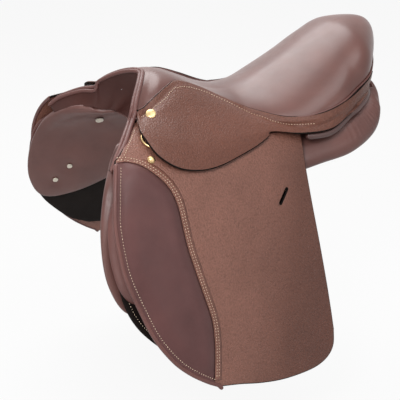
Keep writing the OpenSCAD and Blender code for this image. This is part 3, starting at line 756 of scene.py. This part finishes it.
def stitches(path, up):
    """Short threads along a path of points with their surface directions."""
    both = spaced(np.concatenate([path, up], 1), STITCH_PITCH)
    p, n = both[:, :3], unit(both[:, 3:])
    t = unit(np.gradient(p, axis=0))
    n = unit(n - (n * t).sum(1, keepdims=True) * t)
    w = np.cross(n, t)
    c, s = math.cos(STITCH_TILT), math.sin(STITCH_TILT)
    t, w = t * c + w * s, w * c - t * s
    along_x = np.array([-0.5, -0.42, -0.2, 0.2, 0.42, 0.5]) * STITCH_LENGTH
    fat = np.array([0.15, 0.62, 1, 1, 0.62, 0.15]) * STITCH_WIDTH / 2
    arch = np.array([-0.35, -0.1, 0.25, 0.25, -0.1, -0.35]) * STITCH_WIDTH
    angle = np.arange(STITCH_SIDES) * 2 * math.pi / STITCH_SIDES
    local = np.array([[x, f * math.cos(a), h + f * 0.8 * math.sin(a)]
                      for x, f, h in zip(along_x, fat, arch) for a in angle])
    verts = (p[:, None] + local[None, :, :1] * t[:, None] + local[None, :, 1:2] * w[:, None]
             + (local[None, :, 2:] + STITCH_LIFT) * n[:, None])
    one = capped(len(fat), STITCH_SIDES)
    return verts.reshape(-1, 3), [[k + len(local) * i for k in f] for i in range(len(p)) for f in one]


def sewn(row, depth):
    """Stitches along a flat row on the side, at a depth."""
    return stitches(laid(row, depth), side_out(row[:, 1]))


# the seat, with the place of its seam from 0 at the spine to 1 at the edge
SEAM_V = 0.86
# rim points nearer the middle plane than this are inside the whole seat
ON_MIDDLE = 0.02


def seat_piece():
    u = np.concatenate([np.linspace(0, 8, 81), np.linspace(8, LAST, 91)[1:]])
    v = np.linspace(0, 1, 29)
    verts, faces, slots = shell(seat(u[:, None], v), sunk(u[:, None], v, COVER_T))
    faces = [f for f, s in zip(faces, slots) if not (s and np.abs(verts[f][:, 1]).max() < ON_MIDDLE)]
    obj = solid("seat", *doubled(verts, faces), [SEAT_LEATHER], merge=0.05)
    put(obj, ROOT, "smooth_leather", "seat_cover", "seat_foam", "seat_webs")


# skirts
FOLD_FRONT = side(233, -130, 14.5)
FOLD_BACK = side(6, -54, 13)
# seam place on the seat, fold place, lower edge forward and down
LOBE = np.array([
    [0.05, 1, 233, -129], [0.4, 0.97, 236, -114], [0.8, 0.93, 237, -92], [1.25, 0.87, 230, -64],
    [1.8, 0.77, 205, -40], [2.6, 0.66, 169, -28], [3.6, 0.53, 129, -26], [5, 0.36, 80, -33],
    [6.3, 0.2, 44, -40], [7.4, 0.07, 18, -48], [8, 0, 6, -53],
])
TAIL = np.array([[-75, 145, 45], [-132, 146, 44], [-178, 131, 59], [-221, 107, 77], [-241, 89, 85]], float)
TAIL_SEAM = [9.2, 10.4, 11.6, 12.6, 13]
# how far a lobe's lower edge stands off the side, at its front and further back
LOBE_D = (15.5, 11)
# the row of stitches: its distance from the seam, and where it starts and ends along the skirt
SKIRT_ROW = 14.0
SKIRT_SEWN = (0.07, 0.785)


def lobe_low(k):
    return side(LOBE[k, 2], LOBE[k, 3], mix(*LOBE_D, ramp(k / 5)))


def skirt_lift(u, v):
    """How far the outer face of the skirt stands off the seat."""
    bulge = 1.8 * ramp((u - 8.4) / 1.2) * ramp((12 - u) / 1.2)
    return mix(0.6, 2 + bulge, ramp((v - SEAM_V) / 0.1)) + SKIRT_T


def skirt_row(u, low, bulge, beyond=()):
    edge = [seat_point(u, v) for v in (SEAM_V, 0.89, 0.92, 0.955, 0.99)]
    o = unit([0, 1, 1.1])
    b = edge[-1]
    points = edge + [mix(b, low, 0.35) + bulge * o, mix(b, low, 0.7) + bulge * o] + list(beyond or [low])
    return spaced(smooth(np.array(points), 160), count=SKIRT_COLS)


def seat_point(u, v):
    return sunk(u, v, -skirt_lift(u, v))


# the front corner of a skirt, seen from the end of its seam
CORNER = np.array([2.8, 1.3, -4.9])
SKIRT_COLS = 44
SKIRT_ROWS = 150


def skirt_grid():
    tip = seat_point(LOBE[0, 0], SEAM_V)
    rows = [mix(tip, tip + CORNER, np.linspace(0, 1, SKIRT_COLS)[:, None])]
    for k, (u, f, _, _) in enumerate(LOBE[1:], 1):
        a, b = mix(FOLD_BACK, FOLD_FRONT, f), lobe_low(k)
        h = 0.1 * np.linalg.norm(b - a)
        beyond = [mix(a, b, t) + h * 4 * t * (1 - t) * side_out(-75) for t in (0.25, 0.5, 0.75, 1)]
        rows.append(skirt_row(u, a, 3 * ramp(k / 2), beyond))
    rows += [skirt_row(u, p, 1) for u, p in zip(TAIL_SEAM, TAIL)]
    return along(np.array(rows), np.linspace(0, len(rows) - 1, SKIRT_ROWS))


SKIRT = skirt_grid()


def skirts():
    verts, faces, slots = rounded_shell(SKIRT, SKIRT_T)
    for name, sign in SIDES:
        v, f = mirrored(verts, faces, sign)
        obj = solid("skirt_" + name + "_leather", v, f, [GRAIN, EDGE], slots)
        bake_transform(obj)
        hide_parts("skirt_" + name, "skirt_lobe_" + name)


def skirt_stitches():
    """One row along the top edge of each skirt."""
    run = np.linalg.norm(np.diff(SKIRT, axis=1), axis=2).cumsum(1)
    at = np.array([np.searchsorted(r, SKIRT_ROW) + 1 for r in run])
    rows = np.arange(*(int(SKIRT_ROWS * share) for share in SKIRT_SEWN))
    up = -normals_of(SKIRT)[rows, at[rows]]
    for name, v, f in pair(*stitches(SKIRT[rows, at[rows]], up)):
        put(make("skirt_stitches_" + name, v, f, [THREAD]), ROOT, "grain_leather")


# flaps turn about a line, given by its back and front ends: how far forward, and how far down the side
FLAP_FOLD_X = (-58, 298)
FLAP_FOLD_S = (-38, -78.8)


def fold_s(x):
    return mix(*FLAP_FOLD_S, (x - FLAP_FOLD_X[0]) / (FLAP_FOLD_X[1] - FLAP_FOLD_X[0]))


FLAP_FRONT = [[298, fold_s(298)], [306, -65], [322, -30], [334, 10], [338, 52], [337, 100], [326, 152],
              [311, 205], [288, 250], [264, 280], [236, 305], [216, 319]]
FLAP_LOW = [[213, 320], [175, 331], [130, 346], [84, 357], [36, 362], [4, 361], [-20, 353], [-35, 338],
            [-42, 312]]
FLAP_BACK = [[-44, 278], [-46, 223], [-47, 150], [-47, 80], [-48, 14], [-51, -20], [-55, fold_s(-55)]]
FLAP_HEAD = [[-50, fold_s(-50) - 10], [90, fold_s(90) - 6], [170, fold_s(170) - 4], [186, -73], [186, -118],
             [200, -146], [222, -147], [243, -127], [264, -106], [285, -87]]
SLOT_AT = np.array([11, 55])
SLOT_TURN = math.radians(47)
SLOT_LENGTH = 34
SLOT_WIDTH = 7.5


def slot_outline():
    r = SLOT_WIDTH / 2
    reach = (SLOT_LENGTH - SLOT_WIDTH) / 2
    angle = np.linspace(-math.pi / 2, math.pi / 2, 10)
    end = np.stack([reach + r * np.cos(angle), r * np.sin(angle)], 1)
    p = np.concatenate([end, -end])
    c, s = math.cos(SLOT_TURN), math.sin(SLOT_TURN)
    return SLOT_AT + p @ np.array([[c, s], [-s, c]])


def flap_outline():
    curves = [smooth(FLAP_FRONT, 120), smooth(FLAP_LOW, 90), smooth(FLAP_BACK, 60), FLAP_HEAD]
    return np.concatenate([spaced(c, 5) for c in curves])


def flaps():
    verts, faces, slots = sheet(flap_outline(), 7, 0, FLAP_T, [slot_outline()])
    for name, sign in SIDES:
        v, f = mirrored(verts, faces, sign)
        obj = solid("flap_" + name + "_leather", v, f, [FLAP_LEATHER, EDGE], slots)
        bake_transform(obj)
        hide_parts("flap_" + name, "flap_head_" + name)


HEAD_ROW = np.array([[236, -127], [258, -105], [279, -85]], float)


def flap_head_stitches():
    for name, v, f in pair(*sewn(spaced(HEAD_ROW, 2), FLAP_T / 2)):
        put(make("flap_head_stitches_" + name, v, f, [THREAD]), ROOT, "grain_leather")


# knee pads
PAD_H = 9
PAD_BACK = [[222, 308], [217, 291], [207, 250], [203, 211], [208, 170], [214, 126], [219, 85], [220, 50],
            [221, 14], [228, -12], [240, -34], [262, -60], [284, -73], [298, -76]]
PAD_BAND = 13


def cushion(flat, faces, low, high):
    """A closed pad over flat faces on the side, between two depths."""
    n = len(flat)
    verts = np.concatenate([laid(flat, high), laid(flat, low)])
    edges = {(a, b) for f in faces for a, b in zip(f, f[1:] + f[:1])}
    rim = [[b, a, a + n, b + n] for a, b in edges if (b, a) not in edges]
    return verts, faces + [[k + n for k in f[::-1]] for f in faces] + rim


def swell(t, power):
    """A round rise from 0 to 1."""
    return np.sin(np.clip(t, 0, 1) * math.pi / 2) ** power


def pad_rise(flat, front, back):
    """Height of the padding: a stitched band in front, a round shoulder, a soft ridge, a drop behind."""
    shoulder = swell((distance(flat, front) - PAD_BAND) / 24, 0.75)
    b = distance(flat, back) - 1.5
    ridge = 0.8 + 0.2 * np.exp(-((b - 21) / 9) ** 2)
    return 0.5 + (PAD_H - 0.5) * shoulder * swell(b / 15, 0.8) * ridge


def knee_pads():
    front = spaced(smooth(FLAP_FRONT, 120), 4)[1:-1]
    back = spaced(smooth(PAD_BACK, 120), 4)
    outline = inset(np.concatenate([front, back]), 0.6)
    flat, faces = filled(outline, 4.5)
    rise = pad_rise(flat, front, back)
    base = FLAP_T / 2 + 0.15
    for name, v, f in pair(*cushion(flat, faces, base, base + rise)):
        obj = solid("knee_pad_" + name + "_leather", v, f, [PAD_LEATHER])
        put(obj, name + "_flap", "smooth_leather", "knee_pad_" + name)


LIP_WIDTH = 14
LIP_RISE = 1.6
# rows of stitches: distance from the edge of the pad, and height on the flap
LIP_ROWS = ((3.2, 1.4), (8.0, 0.7))
PAD_ROW = (8.5, 0.95)
BINDING_R = 3.6


def backward(path):
    """Flat directions across an open path, towards the back of the saddle."""
    t = unit(np.gradient(path, axis=0))
    n = np.stack([-t[:, 1], t[:, 0]], 1)
    return -n if n[len(n) // 2, 0] > 0 else n


def lip_stitches(back, out):
    """Rows along a lip and the front of a pad: those that move with the flap, and those above its fold."""
    moving, still = [], []
    for at, height in LIP_ROWS:
        line = (back + out * at)[2:-1]
        below = line[:, 1] > fold_s(line[:, 0]) + 5
        for part, group, lift in ((line[below], moving, height), (line[~below], still, 0.1)):
            if len(part) > 2:
                group.append(sewn(part, FLAP_T / 2 + lift))
    at, height = PAD_ROW
    front = spaced(smooth(FLAP_FRONT, 160), 4)
    moving.append(sewn((front + backward(front) * at)[3:-3], FLAP_T / 2 + height))
    return joined(moving), joined(still)


def knee_pad_lips():
    """The cut edge of the flap's leather along the back of a pad, with its stitches."""
    back = spaced(smooth(PAD_BACK, 160), 4)
    out = backward(back)
    across = np.array([0.0, 0.5, 1.5, 4, 8, LIP_WIDTH])
    rise = np.array([LIP_RISE - 0.5, LIP_RISE - 0.15, LIP_RISE, 1.25, 0.65, 0.0])
    flat = back[:, None] + out[:, None] * across[None, :, None]
    flat[..., 1] = np.maximum(flat[..., 1], fold_s(flat[..., 0]) + 4)
    verts, faces, slots = shell(laid(flat, FLAP_T / 2 + rise), laid(flat, FLAP_T / 2 - 0.3))
    moving, still = lip_stitches(back, out)
    for name, sign in SIDES:
        v, f = mirrored(verts, faces, sign)
        obj = solid("knee_pad_lip_" + name, v, f, [LIP_LEATHER, EDGE], slots)
        put(obj, name + "_flap", "grain_leather")
        v, f = mirrored(*moving, sign)
        put(make("knee_pad_stitches_" + name, v, f, [THREAD]), name + "_flap", "grain_leather")
        v, f = mirrored(*still, sign)
        put(make("flap_corner_stitches_" + name, v, f, [THREAD]), ROOT, "grain_leather")


def flap_bindings():
    """Folded leather over the front edge of a flap."""
    front = spaced(smooth(FLAP_FRONT, 160), 4)[2:]
    front = np.concatenate([front, [front[-1] + [-4, 6]]])
    for name, v, f in pair(*tube(laid(front + 1.2 * backward(front), 0.6), BINDING_R)):
        put(solid("flap_binding_" + name, v, f, [SMOOTH]), name + "_flap", "smooth_leather")


# knee blocks, sweat flaps
BLOCK_FRONT = [[308, -30], [326, -10], [339, 20], [346, 64], [344, 110], [334, 136], [318, 150]]
BLOCK_BACK = [[298, 148], [278, 122], [267, 80], [265, 40], [271, 5], [284, -22], [297, -32]]
SWEAT_D = -22
BLOCK_H = 12.5


def knee_blocks():
    outline = spaced(closed(np.concatenate([smooth(BLOCK_FRONT, 40), smooth(BLOCK_BACK, 40)])), 4)[:-1]
    flat, faces = filled(outline, 4)
    edge = distance(flat, closed(outline))
    rise = 1.5 + (BLOCK_H - 1.5) * swell(edge / 16, 0.7)
    base = SWEAT_D + SWEAT_T + 0.3
    lift = 2.4 * ramp((16 - flat[:, 1]) / 25)
    for name, v, f in pair(*cushion(flat, faces, base, base + lift + rise)):
        obj = solid("knee_block_" + name + "_leather", v, f, [SMOOTH])
        put(obj, ROOT, "smooth_leather", "knee_block_" + name)


SWEAT_FRONT = [[306, -34], [322, -5], [334, 40], [340, 90], [338, 140], [328, 176], [308, 209], [272, 249],
               [232, 270]]
SWEAT_BACK = [[160, 272], [96, 262], [48, 232], [16, 180], [-6, 120], [-18, 85], [-20, 60], [-15, 43],
              [0, 14], [8, -34]]


def sweat_flaps():
    outline = np.concatenate([spaced(smooth(SWEAT_FRONT, 90), 6), spaced(smooth(SWEAT_BACK, 90), 6),
                              spaced(np.array([[20, -34], [290, -34]], float), 6)])
    verts, faces, slots = sheet(outline, 9, SWEAT_D + SWEAT_T / 2, SWEAT_T)
    edge = spaced(np.concatenate([smooth(SWEAT_FRONT, 90), smooth(SWEAT_BACK, 90)]), 5)
    thread = sewn(inset(edge, 7)[4:-4], SWEAT_D + SWEAT_T)
    for name, sign in SIDES:
        v, f = mirrored(verts, faces, sign)
        obj = solid("sweat_flap_" + name + "_leather", v, f, [DARK, EDGE], slots)
        put(obj, ROOT, "dark_leather", "sweat_flap_" + name)
        v, f = mirrored(*thread, sign)
        put(make("sweat_flap_stitches_" + name, v, f, [THREAD]), ROOT, "dark_leather")


# panels
PANEL_TOP = -23.2
PANEL_FRONT = [
    [236, -152, 260, -140], [226, -157, 290, -98], [214, -161, 322, -36], [202, -164, 346, 40],
    [190, -166, 350, 112], [174, -167, 324, 165], [150, -168, 258, 160], [108, -168, 182, 122],
    [58, -166, 106, 72],
]
PANEL_BACK = np.array([
    [[0, 34, 48], [-14, 136, -42]], [[-60, 33, 40], [-62, 137, -33]], [[-120, 34, 40], [-122, 136, -24]],
    [[-172, 38, 46], [-188, 133, -15]], [[-208, 46, 52], [-244, 115, 6]], [[-230, 54, 54], [-267, 97, 40]],
    [[-240, 60, 60], [-266, 82, 76]], [[-246, 56, 76], [-254, 66, 86]],
], float)
PANEL_T = np.array([8, 17, 22, 23, 23, 23, 23, 25, 30, 35, 40, 46, 50, 48, 40, 26, 12], float)
PANEL_END = len(PANEL_T) - 1
PANEL_ARCH = 10
PANEL_RIM = 1.2
TUFTS = [[5.3, 0.34], [5.3, 0.745], [5.05, 0.855]]
TUFT_REACH = 15
TUFT_DEPTH = 3.5
# the strip between the panels starts at this row of them, and arches
GULLET_FROM = 3.5
GULLET_RISE = 9
LINING_T = 1.6
QUARTERS = np.array([0, 0.25, 0.5, 0.75, 1])


def panel_row(k):
    t = QUARTERS
    if k < len(PANEL_FRONT):
        r = PANEL_FRONT[k]
        return side(mix(r[0], r[2], t), mix(r[1], r[3], t), PANEL_TOP - PANEL_T[k] / 2)
    a, b = PANEL_BACK[k - len(PANEL_FRONT)]
    c = b - a
    n = unit([0, -c[2], c[1]])
    return mix(a, b, t[:, None]) + (PANEL_ARCH * 4 * t * (1 - t))[:, None] * n


PANEL = np.array([panel_row(k) for k in range(len(PANEL_T))])


def panel_mid(w, v):
    w, v = arrays(w, v)
    rows = along(PANEL, w)
    before = 2 * rows[..., :1, :] - rows[..., 1:2, :]
    after = 2 * rows[..., -1:, :] - rows[..., -2:-1, :]
    p = np.concatenate([before, rows, after], -2)
    u = v * (len(QUARTERS) - 1)
    i = np.clip(np.floor(u).astype(int), 0, len(QUARTERS) - 2)
    t = (u - i)[..., None]
    four = [np.take_along_axis(p, (i + k)[..., None, None], -2)[..., 0, :] for k in range(4)]
    return between(*four, t)


def panel_up(w, v):
    e = 0.04
    w0, w1 = np.maximum(0, w - e), np.minimum(PANEL_END, w + e)
    v0, v1 = np.maximum(0, v - e), np.minimum(1, v + e)
    return -unit(np.cross(panel_mid(w1, v) - panel_mid(w0, v), panel_mid(w, v1) - panel_mid(w, v0)))


def panel_half_t(w, v):
    round_off = np.maximum(0, 1 - np.abs(2 * v - 1) ** 2.6) ** 0.55
    return mix(PANEL_RIM, along(PANEL_T, w) / 2, round_off)


def tuft(w, v):
    p = panel_mid(w, v)
    near = [np.exp(-(np.linalg.norm(p - panel_mid(a, b), axis=-1) / TUFT_REACH) ** 2) for a, b in TUFTS]
    return np.max(near, 0)


def gathers(w, v):
    """Small radial pleats of the panel where it is drawn in under the tail."""
    at = ramp((w - 11.3) / 1.2) * ramp((15 - w) / 0.6)
    wave = np.sin(w * 41 + 2 * np.sin(w * 7)) * 0.6 + np.sin(w * 67 + 1.3) * 0.4
    outer = np.exp(-((v - 0.8) / 0.13) ** 2)
    return at * outer * wave * 0.9


def panels():
    w = np.concatenate([np.linspace(0, 9, 91), np.linspace(9, PANEL_END, 141)[1:]])[:, None]
    w, v = arrays(w, (1 - np.cos(np.linspace(0, math.pi, 45))) / 2)
    mid, up, half = panel_mid(w, v), panel_up(w, v), panel_half_t(w, v)
    top = mid + (half + gathers(w, v))[..., None] * up
    low = mid - (half - TUFT_DEPTH * tuft(w, v))[..., None] * up
    verts, faces, _ = shell(top, low)
    for name, p, f in pair(verts, faces):
        obj = solid("panel_" + name + "_leather", p, f, [PANEL_LEATHER], merge=0.01)
        put(obj, ROOT, "smooth_leather", "panel_" + name)


# rims and rolls, with the piping's place on the seat
OUTER_R = 4.0
INNER_R = 3.4
ROLL_R = 6.6
PIPING_R = 1.7
PIPING_V = SEAM_V - 0.012
PIPING_LIFT = 1.4


def pommel_line(v, ahead, below):
    """A line along the front edge of the seat, so far in front of it and below it."""
    v = np.array(v)
    o = unit(np.stack([np.ones_like(v), 0.35 * v, 0.25 - 0.5 * v], -1))
    return seat(0, v) + ahead * o - below * seat_up(0, v)


def whole(half):
    """A path of the left side and its mirror image as one path."""
    return np.concatenate([half, flip(half[:-1])[::-1]])


# two rolls edge the pommel: the outer one ends under the front corner of the flap
OUTER_LOW = np.array([side(226, -147, 7), side(244.5, -128, 4), side(264.5, -107, 0), side(285, -88, -4),
                      side(299, -72, -9)])
INNER_LOW = np.array([side(227.5, -155, 3), side(248, -133, 0), side(269.5, -110.6, -4), side(289, -90, -8),
                      side(303, -73, -13)])


def outer_roll():
    return np.concatenate([pommel_line([0, 0.18, 0.35, 0.5, 0.65, 0.78, 0.88], 2.6, 0.4), OUTER_LOW])


def inner_roll():
    return np.concatenate([pommel_line([0, 0.18, 0.35, 0.5, 0.65, 0.8], 8.2, 3.0), INNER_LOW])


def front_welt():
    parts = []
    for half, radius in ((outer_roll(), OUTER_R), (inner_roll(), INNER_R)):
        path = spaced(smooth(whole(half[::-1]), 500), 3.5)
        parts.append(tube(path, radius, 14))
    obj = solid("pommel_rim", *joined(parts), [SMOOTH])
    put(obj, ROOT, "smooth_leather", "front_welt")


def outward(p):
    return unit(p * np.array([1, 1, 0]) + np.array([150, 0, 0]))


def roll_line(u):
    e = seat(u, 1)
    under_seat = e - 7.6 * UP + 5.2 * outward(e)
    t = along(TAIL, np.interp(u, TAIL_SEAM, np.arange(len(TAIL))))
    under_tail = t - 10.5 * UP - 7.6 * outward(t)
    return mix(under_tail, under_seat, ramp((u - 11.7) / 0.5)[:, None])


def cantle_roll():
    path = whole(roll_line(np.linspace(9.5, LAST, 70)))
    verts, faces = tube(spaced(path, 5), ROLL_R, 16)
    obj = solid("cantle_roll", verts, faces, [ROLL_LEATHER])
    put(obj, ROOT, "smooth_leather", "cantle_welt")


def seat_piping():
    """A thin welt between the seat and the top edge of the skirts."""
    u = np.linspace(0.25, LAST, 160)
    half = sunk(u, PIPING_V, -PIPING_LIFT)
    verts, faces = tube(spaced(whole(half), 4), PIPING_R, 10)
    put(solid("seat_piping", verts, faces, [SMOOTH]), ROOT, "smooth_leather")


# linings
def facing():
    """The hollow leather under the arch, from the inner roll to the panels and the strip between them."""
    top = smooth(inner_roll(), 70)
    start = panel_mid(GULLET_FROM, 0) - np.array([0, 2, 0])
    t = np.array([0, 0.45, 0.9])
    front = np.stack([np.full(3, start[0] - 1), start[1] * t, start[2] + GULLET_RISE * (1 - t * t)], 1)
    w = np.array([3.0, 2.2, 1.4, 0.6, 0.1, 0.3, 0.8, 1.3])
    v = np.array([0, 0, 0, 0.02, 0.4, 0.85, 0.95, 0.98])
    low = smooth(np.concatenate([front, panel_mid(w, v) + 2 * UP]), 70)
    q = np.clip(np.linspace(0, 1.65, 70), 0, 1)[:, None]
    deep = np.concatenate([-34 * (1 - q ** 1.5), -14 * q * (1 - q), -3 * (1 - q)], 1)
    bend = mix(top, low, 0.5) + deep
    r = np.linspace(0, 1, 26)[None, :, None]
    half = (1 - r) ** 2 * top[:, None] + 2 * r * (1 - r) * bend[:, None] + r ** 2 * low[:, None]
    grid = np.concatenate([flip(half)[:0:-1], half])
    verts, faces, _ = shell(grid, grid + normals_of(grid) * LINING_T)
    # its leather is darkened: painted shade under the arch
    obj = solid("pommel_facing", verts, faces, [SHADED_FACING], merge=0.02)
    put(obj, ROOT, "smooth_leather", "pommel_lining")


def gullet():
    w = np.linspace(GULLET_FROM, PANEL_END - 1, 60)
    p = panel_mid(w, 0) - np.array([0, 2, 0])
    t = np.linspace(-1, 1, 17)
    x = np.repeat(p[:, :1], len(t), 1)
    y = p[:, 1:2] * t
    z = p[:, 2:] + GULLET_RISE * (1 - t * t)
    top = np.stack([x, y, z], -1)
    verts, faces, slots = shell(top, top - LINING_T * UP)
    obj = solid("gullet_strip", verts, faces, [PANEL_LEATHER, PANEL_LEATHER], slots)
    put(obj, ROOT, "smooth_leather", "gullet_lining")


# hardware: the rim, radius and crown of the brass heads
HEAD_RIM = 1.4
NAIL_R = 8.4
NAIL_CROWN = 1.5
STUD_R = 6.5
STUD_CROWN = 4.2


def dome(radius, crown, n=40, rings=8):
    """A turned nail head: a low rim and a crowned face."""
    profile = [(radius * 0.96, 0), (radius, 0.35), (radius, HEAD_RIM * 0.8), (radius * 0.94, HEAD_RIM)]
    angle = np.linspace(0.08, math.pi / 2, rings)
    profile += [(radius * 0.9 * math.cos(a), HEAD_RIM + crown * math.sin(a)) for a in angle[:-1]]
    turn = np.arange(n) * 2 * math.pi / n
    verts = [[r * math.cos(a), r * math.sin(a), z] for r, z in profile for a in turn]
    faces = grid_faces(len(profile), n, wrap=True)
    verts.append([0, 0, HEAD_RIM + crown])
    base = (len(profile) - 1) * n
    faces += [[base + k, base + (k + 1) % n, len(verts) - 1] for k in range(n)]
    faces.append(list(range(n))[::-1])
    return np.array(verts), faces


def seated(verts, place, up):
    z = unit(up)
    x = unit(np.cross([0, 1, 0.2], z))
    y = np.cross(z, x)
    return place + verts @ np.array([x, y, z])


# a nail leans outward from the leather, and its solid's face stands this far off it
NAIL_OFF = np.array([0, 4, 0])
NAIL_TILT = np.array([0.15, 0.5, 0])


def nails():
    low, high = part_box("skirt_nails")
    target = np.array([(low.x + high.x) / 2, high.y, (low.z + high.z) / 2]) / MM
    near = np.unravel_index(np.argmin(np.linalg.norm(SKIRT - target + NAIL_OFF, axis=2)), SKIRT.shape[:2])
    place, up = SKIRT[near], unit(-normals_of(SKIRT)[near] + NAIL_TILT)
    verts, faces = dome(NAIL_R, NAIL_CROWN)
    obj = solid("skirt_nail_heads", *doubled(seated(verts, place + up, up), faces), [BRASS])
    put(obj, ROOT, "brass", "skirt_nails")


STUD_AT = (241, -65)


def flap_studs():
    verts, faces = dome(STUD_R, STUD_CROWN, 28, 7)
    place = side(*STUD_AT, FLAP_T / 2 + 0.1)
    for name, v, f in pair(seated(verts, place, side_out(STUD_AT[1])), faces):
        obj = solid("flap_stud_head_" + name, v, f, [BRASS])
        put(obj, name + "_flap", "brass", "flap_stud_" + name)


DEE_AT = (220, -98)
DEE_R = 17.8
DEE_WIRE_R = 2.2
DEE_SIDES = 12


def dee_rings():
    turn = np.linspace(0, 2 * math.pi, 73)[:-1]
    out = np.stack([np.cos(turn), np.sin(turn), np.zeros_like(turn)], 1)[:, None]
    bar = (np.arange(DEE_SIDES) * 2 * math.pi / DEE_SIDES)[:, None]
    verts = DEE_R * out + DEE_WIRE_R * (np.cos(bar) * out + np.sin(bar) * UP)
    rings = np.arange(len(turn) * DEE_SIDES).reshape(-1, DEE_SIDES).T.tolist()
    faces = bands(rings + rings[:1])
    place = side(*DEE_AT, FLAP_T / 2 + 2.4)
    for name, v, f in pair(seated(verts.reshape(-1, 3), place, side_out(DEE_AT[1])), faces):
        obj = solid("dee_ring_" + name + "_wire", v, f, [BRASS])
        put(obj, name + "_dee", "brass", "dee_ring_" + name)


def paint(prefixes, material):
    """Gives the CAD pieces that stay in view their finish."""
    for name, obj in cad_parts.items():
        if name.startswith(prefixes):
            obj.data.materials.clear()
            obj.data.materials.append(material)


camera()
studio()
seat_piece()
seat_piping()
skirts()
skirt_stitches()
flaps()
flap_head_stitches()
knee_pads()
knee_pad_lips()
flap_bindings()
knee_blocks()
sweat_flaps()
panels()
front_welt()
cantle_roll()
facing()
gullet()
nails()
flap_studs()
dee_rings()
paint(("tree",), TREE)
paint(("head_plate", "stirrup", "tree_rivets"), STEEL)
paint(("dee_rivets",), BRASS)
paint(("dee_tab", "girth_strap"), DARK)
paint(("girth_web",), WEB)
paint(("panel_studs",), PALE)
